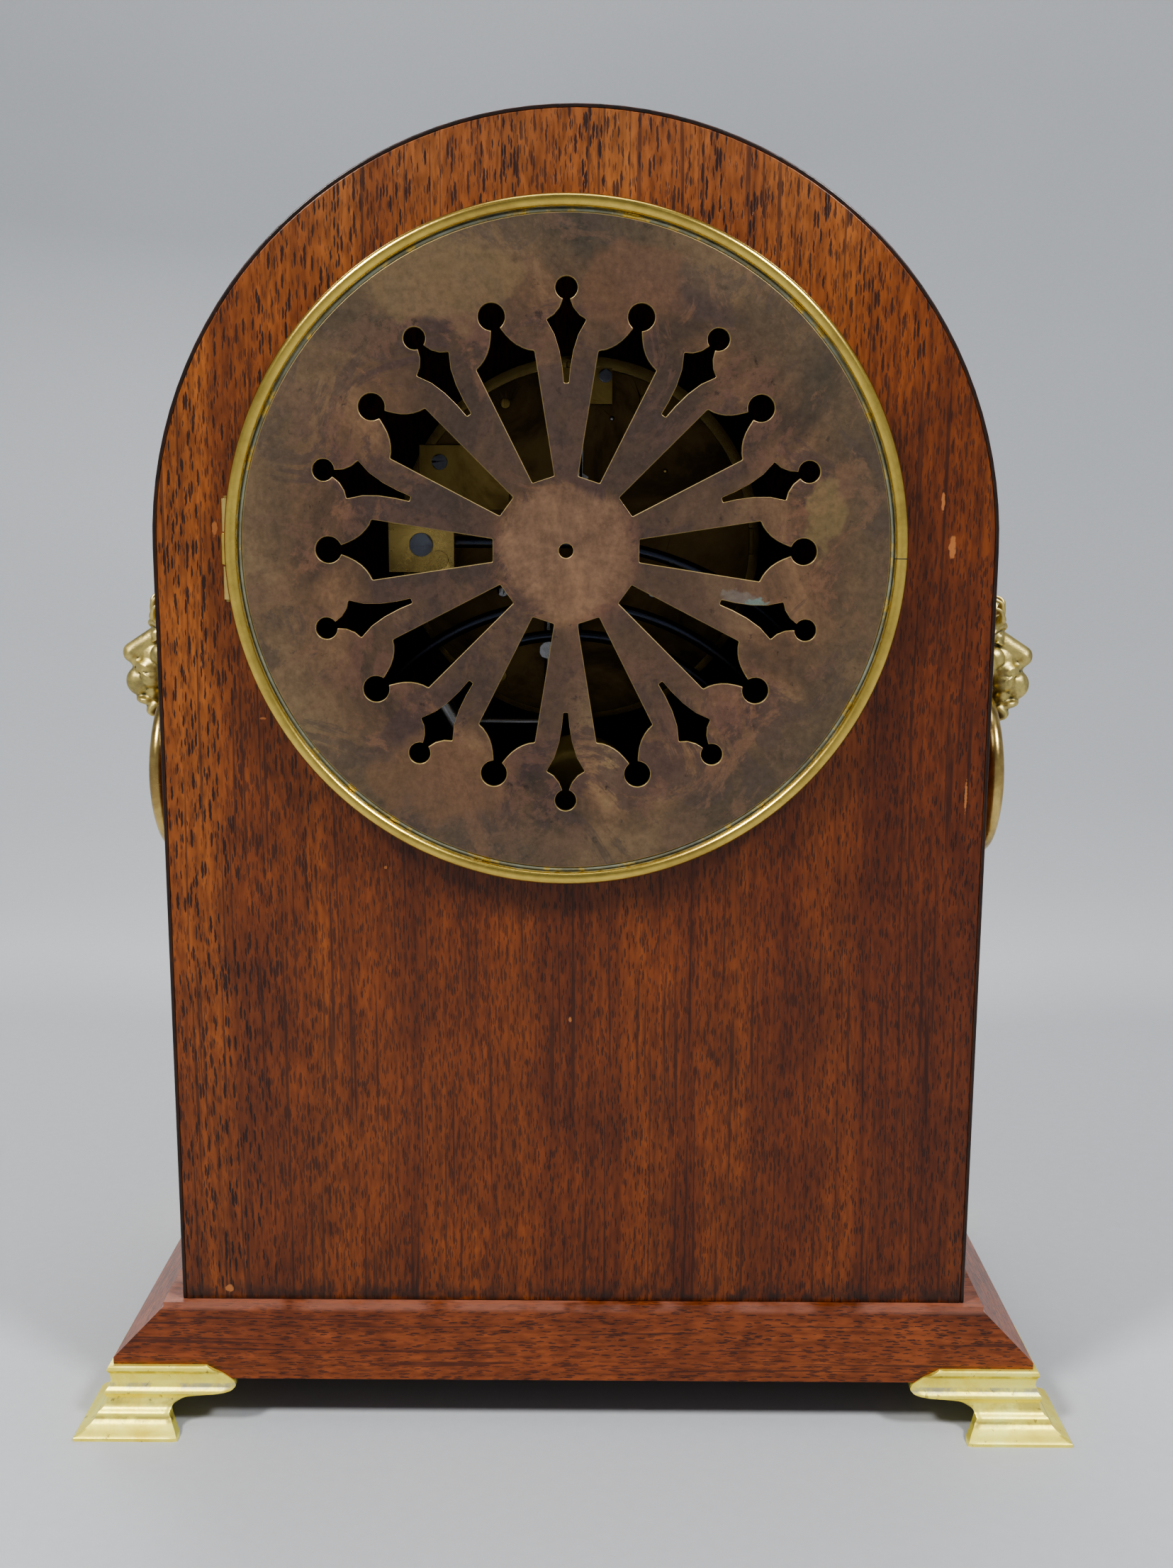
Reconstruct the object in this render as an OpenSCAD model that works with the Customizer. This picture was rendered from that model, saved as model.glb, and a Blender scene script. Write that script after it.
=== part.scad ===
// Arched mantel clock with a pierced brass back door, lion-mask side handles,
// brass bracket feet and an eight-day striking movement.
// The dial faces -Y, the back door faces +Y and the feet stand on z = 0.

/* [Case] */
// Width of the case across its straight sides
case_w = 208; // [160:1:260]
// Depth of the case from front face to back face
case_d = 120; // [90:1:160]
// Height of the arch centre above the table
arch_z = 233; // [200:1:280]
// Thickness of the case sides and arch
wall = 10; // [6:0.5:14]
// Thickness of the front and back panels
panel_t = 8; // [5:0.5:12]
// Width of the fine edging left round the panels
edging = 1; // [0.6:0.1:3]

/* [Plinth] */
// Height of the plinth's top face
plinth_top = 35; // [30:0.5:44]
// Height of the plinth's underside
plinth_bottom = 13.2; // [10:0.1:18]
// Ledge between the case side and the plinth's top edge
ledge = 4.8; // [2:0.1:8]
// How far the plinth's slope runs out beyond its top edge
slope_out = 14; // [6:0.5:20]

/* [Feet] */
// Height of the brass bracket feet
foot_h = 17.2; // [14:0.1:22]
// Length of each foot wing along the plinth
foot_len = 29.8; // [24:0.1:40]
// How far the foot's base stands out from its corner line
foot_flare = 12; // [6:0.5:14]

/* [Back door] */
// Outer radius of the door ring
door_r = 83; // [70:0.5:90]
// Offset of the door centre from the case centre
door_x = 2.2; // [-3:0.1:3]
// Thickness of the pierced disc
fret_t = 1.2; // [0.8:0.1:2]

/* [Handles] */
// Height of the lion mask's centre
mask_z = 201.4; // [185:0.1:225]
// Outer diameter of the ring handle
ring_od = 48; // [40:0.5:56]
// Wire diameter of the ring handle
ring_wire = 4.8; // [3:0.1:6]

/* [Dial and hands] */
// Radius of the enamel dial
dial_r = 52; // [44:0.5:56]
// Outer radius of the front bezel
bezel_r = 67; // [60:0.5:74]
// Length of the minute hand from its centre
minute_len = 43; // [36:0.5:48]
// Length of the hour hand from its centre
hour_len = 29; // [24:0.5:34]

/* [Movement] */
// Radius of the round movement plates
plate_r = 50; // [45:0.5:54]
// Thickness of the movement plates
plate_t = 2; // [1.5:0.1:3]
// Radial running clearance of every pivot
run = 0.06; // [0.03:0.01:0.1]
// Length of the pendulum from its flexing point to the bob's centre
pendulum_len = 115; // [100:1:125]
// Radius of the pendulum bob
bob_r = 18; // [14:0.5:20]

/* [Gong] */
// Radius of the gong's outermost turn
gong_r = 87.6; // [80:0.1:90]
// Spacing of the gong's turns
gong_pitch = 8.6; // [7:0.1:10]
// Diameter of the gong wire
gong_wire = 3.2; // [2.4:0.1:4]

/* [Hidden] */
$fn = 96;
half_w = case_w / 2;
back_y = case_d / 2 + 8;
front_y = back_y - case_d;
plinth_back = back_y + 2;
plinth_front = front_y - ledge - slope_out + 0.8;
foot_back = plinth_back;
foot_front = plinth_front;
foot_lap = 3;
plinth_half = half_w + ledge + slope_out;
inner_r = half_w - wall;
fine = 0.3;
brass = [0.78, 0.6, 0.3];
steel = [0.55, 0.56, 0.6];
blued = [0.12, 0.15, 0.25];
mahogany = [0.45, 0.18, 0.08];

// Movement layout, measured from the dial centre and seen from the back.
front_plate_y = -44;
back_plate_y = -10;
in_front = front_plate_y + plate_t;
out_back = back_plate_y + plate_t;
dial_y = -50.2;
pend_y = 1;
gong_y = 12;
anchor_up = 42;

// Wheel counts and modules
great_n = 72;
great_m = 0.5;
second_pinion_n = 12;
second_n = 64;
centre_pinion_n = 8;
centre_n = 84;
centre_m = 0.38;
third_pinion_n = 7;
third_n = 77;
third_m = 0.36;
escape_pinion_n = 7;
escape_n = 40;
escape_r = 8;
pin_pinion_n = 9;
pin_n = 60;
pin_m = 0.45;
lock_pinion_n = 8;
lock_n = 56;
lock_m = 0.38;
warn_pinion_n = 7;
warn_n = 49;
warn_m = 0.34;
fly_pinion_n = 7;
cannon_n = 14;
minute_n = 42;
minute_m = 0.4;
minute_pinion_n = 12;
hour_n = 48;

// Arbor places, each set by the distances at which its wheels mesh
time_at = [22, -14];
strike_at = [-22, -14];
escape_at = [0, 29];
second_at = meet([0, 0], reach(second_n, centre_pinion_n, great_m), time_at,
                 reach(great_n, second_pinion_n, great_m), 1);
third_at = meet([0, 0], reach(centre_n, third_pinion_n, centre_m), escape_at,
                reach(third_n, escape_pinion_n, third_m), 1);
pin_at = [-27.2, 5.6];
lock_at = [-25.2, 20.8];
warn_at = [-16.8, 29.4];
fly_at = [-9.6, 35.6];
hammer_at = [8.6, -31];
minute_at = [0, -reach(cannon_n, minute_n, minute_m)];
hour_m = 2 * reach(cannon_n, minute_n, minute_m) / (minute_pinion_n + hour_n);

function reach(a, b, m) = m * (a + b) / 2;
function heading(a, b) = atan2(b[1] - a[1], b[0] - a[0]);
// The point at distance ra from a and rb from b, on the chosen side of the line from a to b
function meet(a, ra, b, rb, side) =
    let (d = norm(b - a), u = (b - a) / d, k = (ra * ra - rb * rb + d * d) / (2 * d),
         h = sqrt(ra * ra - k * k))
    a + k * u + side * h * [-u[1], u[0]];

// ---------- helpers ----------

// A cylinder along Y between two depths
module rod_y(x, z, y0, y1, r) {
    translate([x, y0, z]) rotate([-90, 0, 0]) cylinder(h = y1 - y0, r = r);
}

// The same, placed from the dial centre
module arbor(at, y0, y1, r) {
    rod_y(at[0], arch_z + at[1], y0, y1, r);
}

module box(x0, x1, y0, y1, z0, z1) {
    translate([x0, y0, z0]) cube([x1 - x0, y1 - y0, z1 - z0]);
}

// A solid of revolution about the Y axis, from a profile of [radius, y] points
module lathe_y(x, z, points) {
    translate([x, 0, z]) rotate([-90, 0, 0]) rotate_extrude() polygon(points);
}

// A ring of round section about the Y axis
module wire_y(x, y, z, r, wire_r) {
    translate([x, y, z]) rotate([-90, 0, 0]) rotate_extrude() translate([r, 0]) circle(r = wire_r, $fn = 32);
}

// A flat shape drawn in x and z, given a thickness from y0 to y1
module slab_y(at, y0, y1) {
    translate([at[0], y1, arch_z + at[1]]) rotate([90, 0, 0]) linear_extrude(height = y1 - y0) children();
}

module arch_block(r, y0, y1, z0) {
    rod_y(0, arch_z, y0, y1, r);
    box(-r, r, y0, y1, z0, arch_z);
}

// Turns what is drawn about the dial's axis
module rotate_y(a) {
    translate([0, 0, arch_z]) rotate([0, a, 0]) translate([0, 0, -arch_z]) children();
}

function turn(r, a) = [r * cos(a), r * sin(a)];

// Outline of a wheel: every tooth has radial flanks below the pitch circle and a pointed top
function wheel_outline(n, m, a0) =
    let (r = n * m / 2, p = 360 / n)
    [for (k = [0 : n - 1]) let (a = a0 + k * p)
        for (q = [[-1.42, -0.23], [0, -0.23], [0.95, -0.07], [0.95, 0.07], [0, 0.23], [-1.42, 0.23]])
            turn(r + q[0] * m, a + q[1] * p)];

// Outline of a pinion: narrow radial leaves with short rounded tops
function pinion_outline(n, m, a0) =
    let (r = n * m / 2, p = 360 / n)
    [for (k = [0 : n - 1]) let (a = a0 + k * p)
        for (q = [[-1.3, -0.16], [0, -0.16], [0.4, -0.09], [0.4, 0.09], [0, 0.16], [-1.3, 0.16]])
            turn(r + q[0] * m, a + q[1] * p)];

// The open windows between the arms of a crossed-out wheel
module crossings(r_in, r_out, arms) {
    step = 360 / arms;
    for (k = [0 : arms - 1]) {
        half = step / 2;
        polygon([for (q = [[r_in, -0.55], [r_out, -0.86], [r_out * 1.02, -0.4], [r_out * 1.02, 0.4],
                           [r_out, 0.86], [r_in, 0.55]]) turn(q[0], k * step + q[1] * half)]);
    }
}

module wheel(at, n, m, a0, y0, y1, arms, hub_r) {
    r = n * m / 2;
    slab_y(at, y0, y1) difference() {
        polygon(wheel_outline(n, m, a0));
        crossings(hub_r, r - 3.4 * m, arms);
    }
}

module pinion(at, n, m, a0, y0, y1) {
    slab_y(at, y0, y1) polygon(pinion_outline(n, m, a0));
}

// Phase of a follower that meets the leader's tooth with a gap
function meshed(at, leader, n) = heading(at, leader) + 180 / n;

// An arbor between the plates with its two pivots
module pivoted(at, r, pivot_r) {
    arbor(at, in_front + fine, back_plate_y - fine, r);
    arbor(at, front_plate_y + fine, out_back + 0.4, pivot_r);
}

// ---------- case ----------

module case_shell() {
    color(mahogany) difference() {
        arch_block(half_w, front_y, back_y, plinth_top);
        arch_block(inner_r, front_y + panel_t, back_y - panel_t, plinth_top - 1);
        arch_block(half_w - edging, front_y - 1, front_y + panel_t, plinth_top - 1);
        arch_block(half_w - edging, back_y - panel_t, back_y + 1, plinth_top - 1);
    }
}

module front_panel() {
    color(mahogany) difference() {
        arch_block(half_w - edging, front_y, front_y + panel_t, plinth_top);
        rod_y(0, arch_z, front_y - 1, front_y + panel_t + 1, 57);
    }
}

module back_panel() {
    color(mahogany) difference() {
        arch_block(half_w - edging, back_y - panel_t, back_y, plinth_top);
        rod_y(door_x, arch_z, back_y - panel_t - 1, back_y + 1, 74);
    }
}

// Side profile of the plinth moulding, from its outer foot to its top edge
function moulding(edge) = [[edge, plinth_bottom], [edge, plinth_bottom + 5.8],
    [edge - slope_out, plinth_top - 1.2], [edge - slope_out, plinth_top]];

module plinth() {
    mirrored = [for (q = moulding(plinth_half)) [-q[0], q[1]]];
    front = [for (q = moulding(-plinth_front)) [-q[0], q[1]]];
    color(mahogany) difference() {
        intersection() {
            translate([0, plinth_back, 0]) rotate([90, 0, 0])
                linear_extrude(height = plinth_back - plinth_front)
                    polygon(concat(moulding(plinth_half), [for (k = [3 : -1 : 0]) mirrored[k]]));
            translate([-plinth_half, 0, 0]) rotate([90, 0, 90])
                linear_extrude(height = 2 * plinth_half)
                    polygon(concat([[plinth_back, plinth_bottom], [plinth_back, plinth_top]],
                                   [for (k = [3 : -1 : 0]) front[k]]));
        }
        box(-inner_r, inner_r, front_y + 6, back_y - 10, plinth_bottom - 1, plinth_top + 1);
        foot_screw_holes(1.3);
    }
}

module base_board() {
    color([0.55, 0.38, 0.22])
        box(-inner_r, inner_r, front_y + 6, back_y - 10, plinth_top - 8, plinth_top);
}

// ---------- feet ----------

// Outline of one wing: distance along the plinth from the corner, and height
function wing_face() = [[-foot_flare, 0], [15.6, 0], [15.3, 1], [13.4, 2.9], [12.2, 5], [13, 6.8],
    [15.4, 8.2], [17.6, 9], [22, 9.4], [26, 9.8], [foot_len - 1.2, 10.5], [foot_len, 11.5],
    [foot_len - 0.6, 12.7], [foot_len - 3.4, 14.8], [foot_len - 6.8, 16.5], [foot_len - 7.8, foot_h],
    [-foot_flare, foot_h]];

// Section of the wing's ogee: distance outward and height. Its top laps the plinth's face.
function wing_section() = [[foot_flare, 0], [foot_flare, 0.9], [11.4, 1.3], [10, 1.9], [8.2, 3], [7.3, 3.9],
    [7.1, 4.6], [6.8, 5.2], [5.6, 6], [4.9, 7.1], [4.7, 8.4], [5, 9.4], [5.3, 9.9], [5, 10.5], [4.1, 11.4],
    [3.7, 13], [3.9, 15], [4.5, 15.8], [4.5, 16.5], [3.9, foot_h], [foot_lap, foot_h],
    [foot_lap, plinth_bottom], [0.6, plinth_bottom], [0.8, 8.6], [2.6, 5.7], [5, 2.9], [foot_flare - 2.6, 0]];

module wing() {
    intersection() {
        translate([0, 20, 0]) rotate([90, 0, 0]) linear_extrude(height = 40) polygon(wing_face());
        translate([-20, 0, 0]) rotate([90, 0, 90]) linear_extrude(height = 80)
            polygon([for (q = wing_section()) [-q[0], q[1]]]);
    }
}

// A foot for a corner at the origin, with wings along +X and +Y and its flare toward -X and -Y
module foot() {
    color(brass) {
        intersection() {
            wing();
            linear_extrude(height = 40) polygon([[-20, -20], [60, -20], [60, 60]]);
        }
        mirror([1, -1, 0]) intersection() {
            wing();
            linear_extrude(height = 40) polygon([[-20, -20], [60, -20], [60, 60]]);
        }
        difference() {
            translate([-1.2, -1.2, plinth_bottom - 2.5]) cube([22, 22, 2.5]);
            foot_screw_at() translate([0, 0, plinth_bottom - 5.9]) cylinder(h = 8, r = 1.8, $fn = 32);
        }
    }
}

module foot_screw_at() {
    for (q = [[8, 16], [16, 8]]) translate([q[0], q[1], 0]) children();
}

// Moves a foot, or its screws, to one corner of the plinth
module at_corner(sx, back) {
    translate([sx * (plinth_half - foot_lap), back ? foot_back - foot_lap : foot_front + foot_lap, 0])
        mirror([sx > 0 ? 1 : 0, 0, 0]) mirror([0, back ? 1 : 0, 0]) children();
}

module foot_back_left() { at_corner(1, true) foot(); }
module foot_back_right() { at_corner(-1, true) foot(); }
module foot_front_left() { at_corner(1, false) foot(); }
module foot_front_right() { at_corner(-1, false) foot(); }

module at_corners() {
    for (sx = [-1, 1]) for (back = [true, false]) at_corner(sx, back) children();
}

module foot_screw_holes(r) {
    at_corners() foot_screw_at() translate([0, 0, plinth_bottom - 1]) cylinder(h = 9.2, r = r, $fn = 32);
}

module foot_screws() {
    color(brass) at_corners() foot_screw_at() {
        translate([0, 0, plinth_bottom - 4.1]) difference() {
            cylinder(h = 1.6, r = 3, $fn = 32);
            translate([-4, -0.4, -1]) cube([8, 0.8, 1.6]);
        }
        translate([0, 0, plinth_bottom - 2.9]) cylinder(h = 10, r = 1.3, $fn = 32);
    }
}

// ---------- lion masks and ring handles ----------

ring_r = (ring_od - ring_wire) / 2;
pivot_x = half_w + 11.3;
pivot_z = mask_z - 10.6;
mask_y = back_y - case_d / 2;

module ball(x, y, z, r) {
    translate([half_w + x, mask_y + y, mask_z + z]) sphere(r = r, $fn = 64);
}

module mask() {
    color(brass) difference() {
        union() {
            translate([half_w, mask_y, mask_z]) rotate([0, 90, 0]) cylinder(h = 3, r = 16.6);
            intersection() {
                union() {
                    ball(1, 0, 0, 15.4);
                    ball(9, 0, 3.6, 9.4);
                    ball(15, 0, 1, 6.6);
                    ball(20.6, 0, -0.6, 4.9);
                    ball(12, 0, -10.8, 6.4);
                    for (s = [-1, 1]) {
                        ball(16.4, s * 4, -4.2, 4.4);
                        ball(5, s * 11, 10.4, 3.8);
                    }
                }
                box(half_w, half_w + 40, mask_y - 30, mask_y + 30, mask_z - 30, mask_z + 30);
            }
        }
        rod_y(pivot_x, pivot_z, mask_y - 20, mask_y + 20, ring_wire / 2 + 0.95);
        for (s = [-1, 1]) mask_screw_at(s) translate([0, 0, -1]) cylinder(h = 30, r = 1.3, $fn = 32);
    }
}

module mask_screw_at(s) {
    translate([half_w, mask_y + s * 13.6, mask_z - 1 + s * 4.4]) rotate([0, 90, 0]) children();
}

module mask_left() { mask(); }
module mask_right() { mirror([1, 0, 0]) mask(); }

module one_mask_screws() {
    for (s = [-1, 1]) mask_screw_at(s) {
        translate([0, 0, -7]) cylinder(h = 16, r = 1.2, $fn = 32);
    }
}

module mask_screws() {
    color(brass) {
        one_mask_screws();
        mirror([1, 0, 0]) one_mask_screws();
    }
}

module ring() {
    color(brass) translate([pivot_x, mask_y, pivot_z - ring_r]) rotate([0, 90, 0])
        rotate_extrude() translate([ring_r, 0]) circle(r = ring_wire / 2, $fn = 48);
}

module ring_left() { ring(); }
module ring_right() { mirror([1, 0, 0]) ring(); }

// ---------- back door ----------

hinge_r = 1.4;
hinge_x = door_x + door_r - 0.4;
hinge_y = back_y + 2.6;
seat_y = back_y + 1.5;
ring_y = back_y + 2;
fret_y = ring_y + 2.2;

// A round hinge knuckle standing upright between two heights from the door centre
module knuckle(x, y, z0, z1, r) {
    translate([x, y, arch_z + z0]) cylinder(h = z1 - z0, r = r, $fn = 48);
}

module seat_ring() {
    color(brass) difference() {
        union() {
            lathe_y(door_x, arch_z, [[71.6, back_y - 9], [73.9, back_y - 9], [73.9, back_y],
                                     [82, back_y], [82, seat_y], [71.6, seat_y]]);
            for (s = [-1, 1]) {
                box(hinge_x - 5, hinge_x + hinge_r, back_y, seat_y, arch_z + s * 8.2 - 4, arch_z + s * 8.2 + 4);
                knuckle(hinge_x, hinge_y, s * 8.2 - 4, s * 8.2 + 4, hinge_r);
                box(hinge_x - hinge_r, hinge_x + hinge_r, back_y + 0.5, hinge_y,
                    arch_z + s * 8.2 - 4, arch_z + s * 8.2 + 4);
            }
        }
        knuckle(hinge_x, hinge_y, -4.2, 4.2, hinge_r + 0.4);
        knuckle(hinge_x, hinge_y, -20, 20, 0.8);
        seat_screw_places() cylinder(h = 30, r = 1.5, $fn = 32);
    }
}

// The screws that hold the back seat ring, laid along Y
module seat_screw_places() {
    for (a = [45 : 90 : 315])
        translate([door_x + 77.4 * cos(a), back_y + 4, arch_z + 77.4 * sin(a)]) rotate([90, 0, 0]) children();
}

module door_ring() {
    color(brass) difference() {
        union() {
            lathe_y(door_x, arch_z, [[74.5, ring_y], [door_r - 1.2, ring_y], [door_r, ring_y + 1.2],
                                     [door_r, ring_y + 2.4], [79.8, ring_y + 2.4], [79.6, ring_y + 2.2],
                                     [74.5, ring_y + 2.2]]);
            wire_y(door_x, ring_y + 2.9, arch_z, door_r - 1.6, 1.6);
            knuckle(hinge_x, hinge_y, -3.9, 3.9, hinge_r);
        }
        for (s = [-1, 1]) knuckle(hinge_x, hinge_y, s * 8.4 - 4.5, s * 8.4 + 4.5, hinge_r + 0.5);
        for (s = [-1, 1]) box(hinge_x - hinge_r - 0.5, hinge_x + 6, ring_y - 1, hinge_y,
                              arch_z + s * 8.4 - 4.5, arch_z + s * 8.4 + 4.5);
        knuckle(hinge_x, hinge_y, -20, 20, 0.8 + run);
    }
}

// Openings of the pierced disc, drawn flat about its centre with the first one pointing up
module lancet() {
    // The tall window: straight radial sides, cusped shoulders and a round eye above
    polygon([turn(18, 90 - 8.75), turn(33, 90 - 8.75), turn(47.6, 90 - 8.75), [5.9, 47.7], [4.7, 48.6],
             [3.6, 49.7], [2.6, 51.1], [1.8, 52.7], [1.2, 54.2], [0.9, 55.2], [-0.9, 55.2], [-1.2, 54.2],
             [-1.8, 52.7], [-2.6, 51.1], [-3.6, 49.7], [-4.7, 48.6], [-5.9, 47.7],
             turn(47.6, 90 + 8.75), turn(33, 90 + 8.75), turn(18, 90 + 8.75), turn(17.8, 90)]);
    translate([0, 57.6]) circle(r = 3.2, $fn = 48);
}

module kite() {
    // The short window: a rounded tip low down, two side points and a round eye above
    polygon([[0.6, 39.6], [0.9, 43], [1.6, 47], [2.8, 50.8], [4.75, 54.2], [3, 55.3], [1.6, 57], [0.8, 59],
             [-0.8, 59], [-1.6, 57], [-3, 55.3], [-4.75, 54.2], [-2.8, 50.8], [-1.6, 47], [-0.9, 43],
             [-0.6, 39.6]]);
    translate([0, 61.5]) circle(r = 2.63, $fn = 48);
}

module door_fret() {
    color(brass) translate([door_x, fret_y + fret_t, arch_z]) rotate([90, 0, 0])
        linear_extrude(height = fret_t) difference() {
            circle(r = 78.6, $fn = 180);
            circle(r = 1.75, $fn = 32);
            for (k = [0 : 9]) {
                rotate(36 * k) kite();
                rotate(36 * k + 18) lancet();
            }
        }
}

// ---------- front bezel, dial and glass ----------

bezel_hinge_x = bezel_r + 0.6;
bezel_hinge_y = front_y - 3.4;

module bezel_seat() {
    color(brass) difference() {
        union() {
            lathe_y(0, arch_z, [[52.6, front_y - 1.4], [bezel_r - 2.4, front_y - 1.4], [bezel_r - 2.4, front_y],
                                [56.8, front_y], [56.8, front_y + 6], [52.6, front_y + 6]]);
            // Ears behind the tube that carry the front plate
            for (a = [0 : 90 : 270]) rotate_y(a) box(46, 54.6, front_y + 6, front_plate_y, arch_z - 4, arch_z + 4);
            for (s = [-1, 1]) {
                knuckle(bezel_hinge_x, bezel_hinge_y, s * 8.2 - 4, s * 8.2 + 4, hinge_r);
                box(bezel_hinge_x - 6, bezel_hinge_x + hinge_r, front_y - 1.4, front_y,
                    arch_z + s * 8.2 - 4, arch_z + s * 8.2 + 4);
                box(bezel_hinge_x - hinge_r, bezel_hinge_x + hinge_r, bezel_hinge_y, front_y - 0.6,
                    arch_z + s * 8.2 - 4, arch_z + s * 8.2 + 4);
            }
        }
        knuckle(bezel_hinge_x, bezel_hinge_y, -20, 20, 0.8);
        front_screw_places() cylinder(h = 30, r = 1.5, $fn = 32);
    }
}

module front_screw_places() {
    for (a = [45 : 90 : 315])
        translate([60.6 * cos(a), front_y - 4, arch_z + 60.6 * sin(a)]) rotate([-90, 0, 0]) children();
}

module bezel() {
    color(brass) difference() {
        union() {
            lathe_y(0, arch_z, [[57.2, front_y - 2], [bezel_r - 1, front_y - 2], [bezel_r, front_y - 3],
                                [bezel_r, front_y - 4.6], [bezel_r - 2.4, front_y - 7.4], [61.5, front_y - 8.6],
                                [58.6, front_y - 7], [57.6, front_y - 6.2], [57.6, front_y - 5.4],
                                [59.4, front_y - 5.4], [59.4, front_y - 3.2], [57.2, front_y - 3.2]]);
            knuckle(bezel_hinge_x, bezel_hinge_y, -3.9, 3.9, hinge_r);
        }
        for (s = [-1, 1]) knuckle(bezel_hinge_x, bezel_hinge_y, s * 8.4 - 4.5, s * 8.4 + 4.5, hinge_r + 0.5);
        for (s = [-1, 1]) box(bezel_hinge_x - hinge_r - 0.5, bezel_hinge_x + 6, bezel_hinge_y, front_y + 1,
                              arch_z + s * 8.4 - 4.5, arch_z + s * 8.4 + 4.5);
        knuckle(bezel_hinge_x, bezel_hinge_y, -20, 20, 0.8 + run);
    }
}

dome_r = 150;
dome_y = front_y - 3.4;

// A convex watch-type glass: two spheres leave a shallow dome of even thickness
module dial_glass() {
    color([0.8, 0.9, 0.95, 0.35]) intersection() {
        rod_y(0, arch_z, dome_y - 30, dome_y, 59.3);
        difference() {
            union() {
                intersection() {
                    translate([0, dome_y - 1.6 + sqrt(dome_r * dome_r - 57.4 * 57.4), arch_z])
                        sphere(r = dome_r, $fn = 180);
                    rod_y(0, arch_z, dome_y - 30, dome_y - 0.6, 57.4);
                }
                rod_y(0, arch_z, dome_y - 1.8, dome_y, 59.3);
            }
            translate([0, dome_y - 1.6 + sqrt(dome_r * dome_r - 57.4 * 57.4), arch_z])
                sphere(r = dome_r - 1.8, $fn = 180);
            rod_y(0, arch_z, dome_y - 1.9, dome_y + 1, 50);
        }
    }
}

// Enamel dial on its copper back, with four feet that stand on the front plate
module dial_plate() {
    color([0.93, 0.91, 0.84]) {
        difference() {
            arbor([0, 0], dial_y, dial_y + 1.2, dial_r);
            arbor([0, 0], dial_y - 1, dial_y + 3, 3.6);
            arbor(time_at, dial_y - 1, dial_y + 3, 3.4);
            arbor(strike_at, dial_y - 1, dial_y + 3, 3.4);
        }
        for (a = [25, 155, 205, 335]) arbor(turn(42, a), dial_y + 1.2, front_plate_y, 1.4);
    }
}

module seat_screws() {
    color(brass) {
        front_screw_places() {
            translate([0, 0, 2.3]) cylinder(h = 0.3, r = 2.6, $fn = 32);
            translate([0, 0, 2.5]) cylinder(h = 8, r = 1.5, $fn = 32);
        }
        seat_screw_places() {
            translate([0, 0, 2.3]) cylinder(h = 0.2, r = 2.6, $fn = 32);
            translate([0, 0, 2.4]) cylinder(h = 8, r = 1.5, $fn = 32);
        }
    }
}

module hinge_pins() {
    color(steel) {
        knuckle(hinge_x, hinge_y, -12.8, 12.8, 0.8);
        knuckle(bezel_hinge_x, bezel_hinge_y, -12.8, 12.8, 0.8);
    }
}

// ---------- movement frame ----------

pillar_angles = [62, 115, 240, 300];

// Arbors that run in plain pivot holes in both plates
train = [second_at, third_at, escape_at, pin_at, lock_at, warn_at, fly_at];
pivot_r = 0.5;

module plate(y0, y1, mid_r, barrel_r) {
    difference() {
        arbor([0, 0], y0, y1, plate_r);
        for (at = train) arbor(at, y0 - 1, y1 + 1, pivot_r + run);
        arbor([0, 0], y0 - 1, y1 + 1, mid_r + run);
        for (at = [time_at, strike_at]) arbor(at, y0 - 1, y1 + 1, barrel_r + run);
        for (a = pillar_angles) arbor(turn(45, a), y0 - 1, y1 + 1, 1.4);
        children();
    }
}

module front_plate() {
    color(brass) plate(front_plate_y, in_front, 1.2, 2.2) {
        arbor([0, anchor_up], front_plate_y - 1, in_front + 1, pivot_r + run);
        arbor(hammer_at, front_plate_y - 1, in_front + 1, 0.7 + run);
        arbor(minute_at, front_plate_y - 1, in_front + 1, 0.9);
    }
    // Stud of the minute wheel and the studs of the two clicks
    color(steel) {
        arbor(minute_at, front_plate_y - 3.8, in_front, 0.9);
        for (s = [1, -1]) arbor(click_at(s), front_plate_y - 2.6, front_plate_y, 0.9);
    }
}

module back_plate() {
    color(brass) plate(back_plate_y, out_back, 0.6, 1.6) {
        arbor([0, anchor_up], back_plate_y - 1, out_back + 1, 2.6);
        arbor(hammer_at, back_plate_y - 1, out_back + 1, 1.2 + run);
    }
}

module pillars() {
    color(brass) for (a = pillar_angles) {
        arbor(turn(45, a), in_front, back_plate_y, 2.5);
        arbor(turn(45, a), front_plate_y - 1.2, out_back + 0.3, 1.4);
    }
}

module movement_screws() {
    color(steel) {
        for (a = pillar_angles) difference() {
            translate([45 * cos(a), front_plate_y, arch_z + 45 * sin(a)]) rotate([90, 0, 0])
                cylinder(h = 1.8, r = 3, $fn = 6);
            arbor(turn(45, a), front_plate_y - 3, front_plate_y + 1, 1.4);
        }
        for (x = [-7.6, 7.6]) slotted([x, 47.2], -3.8, 1.9);
        for (q = [[25, 23], [40, 23]]) slotted(q, out_back + 2, 2.2);
        slotted([43, 0], gong_y + 7, 3.2);
    }
}

// A cheese-head screw on a face that looks toward +Y
module slotted(at, y, r) {
    difference() {
        arbor(at, y, y + 1.4, r);
        translate([at[0] - r - 1, y + 0.9, arch_z + at[1] - 0.35]) cube([2 * r + 2, 1, 0.7]);
    }
}

// ---------- going train ----------

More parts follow.
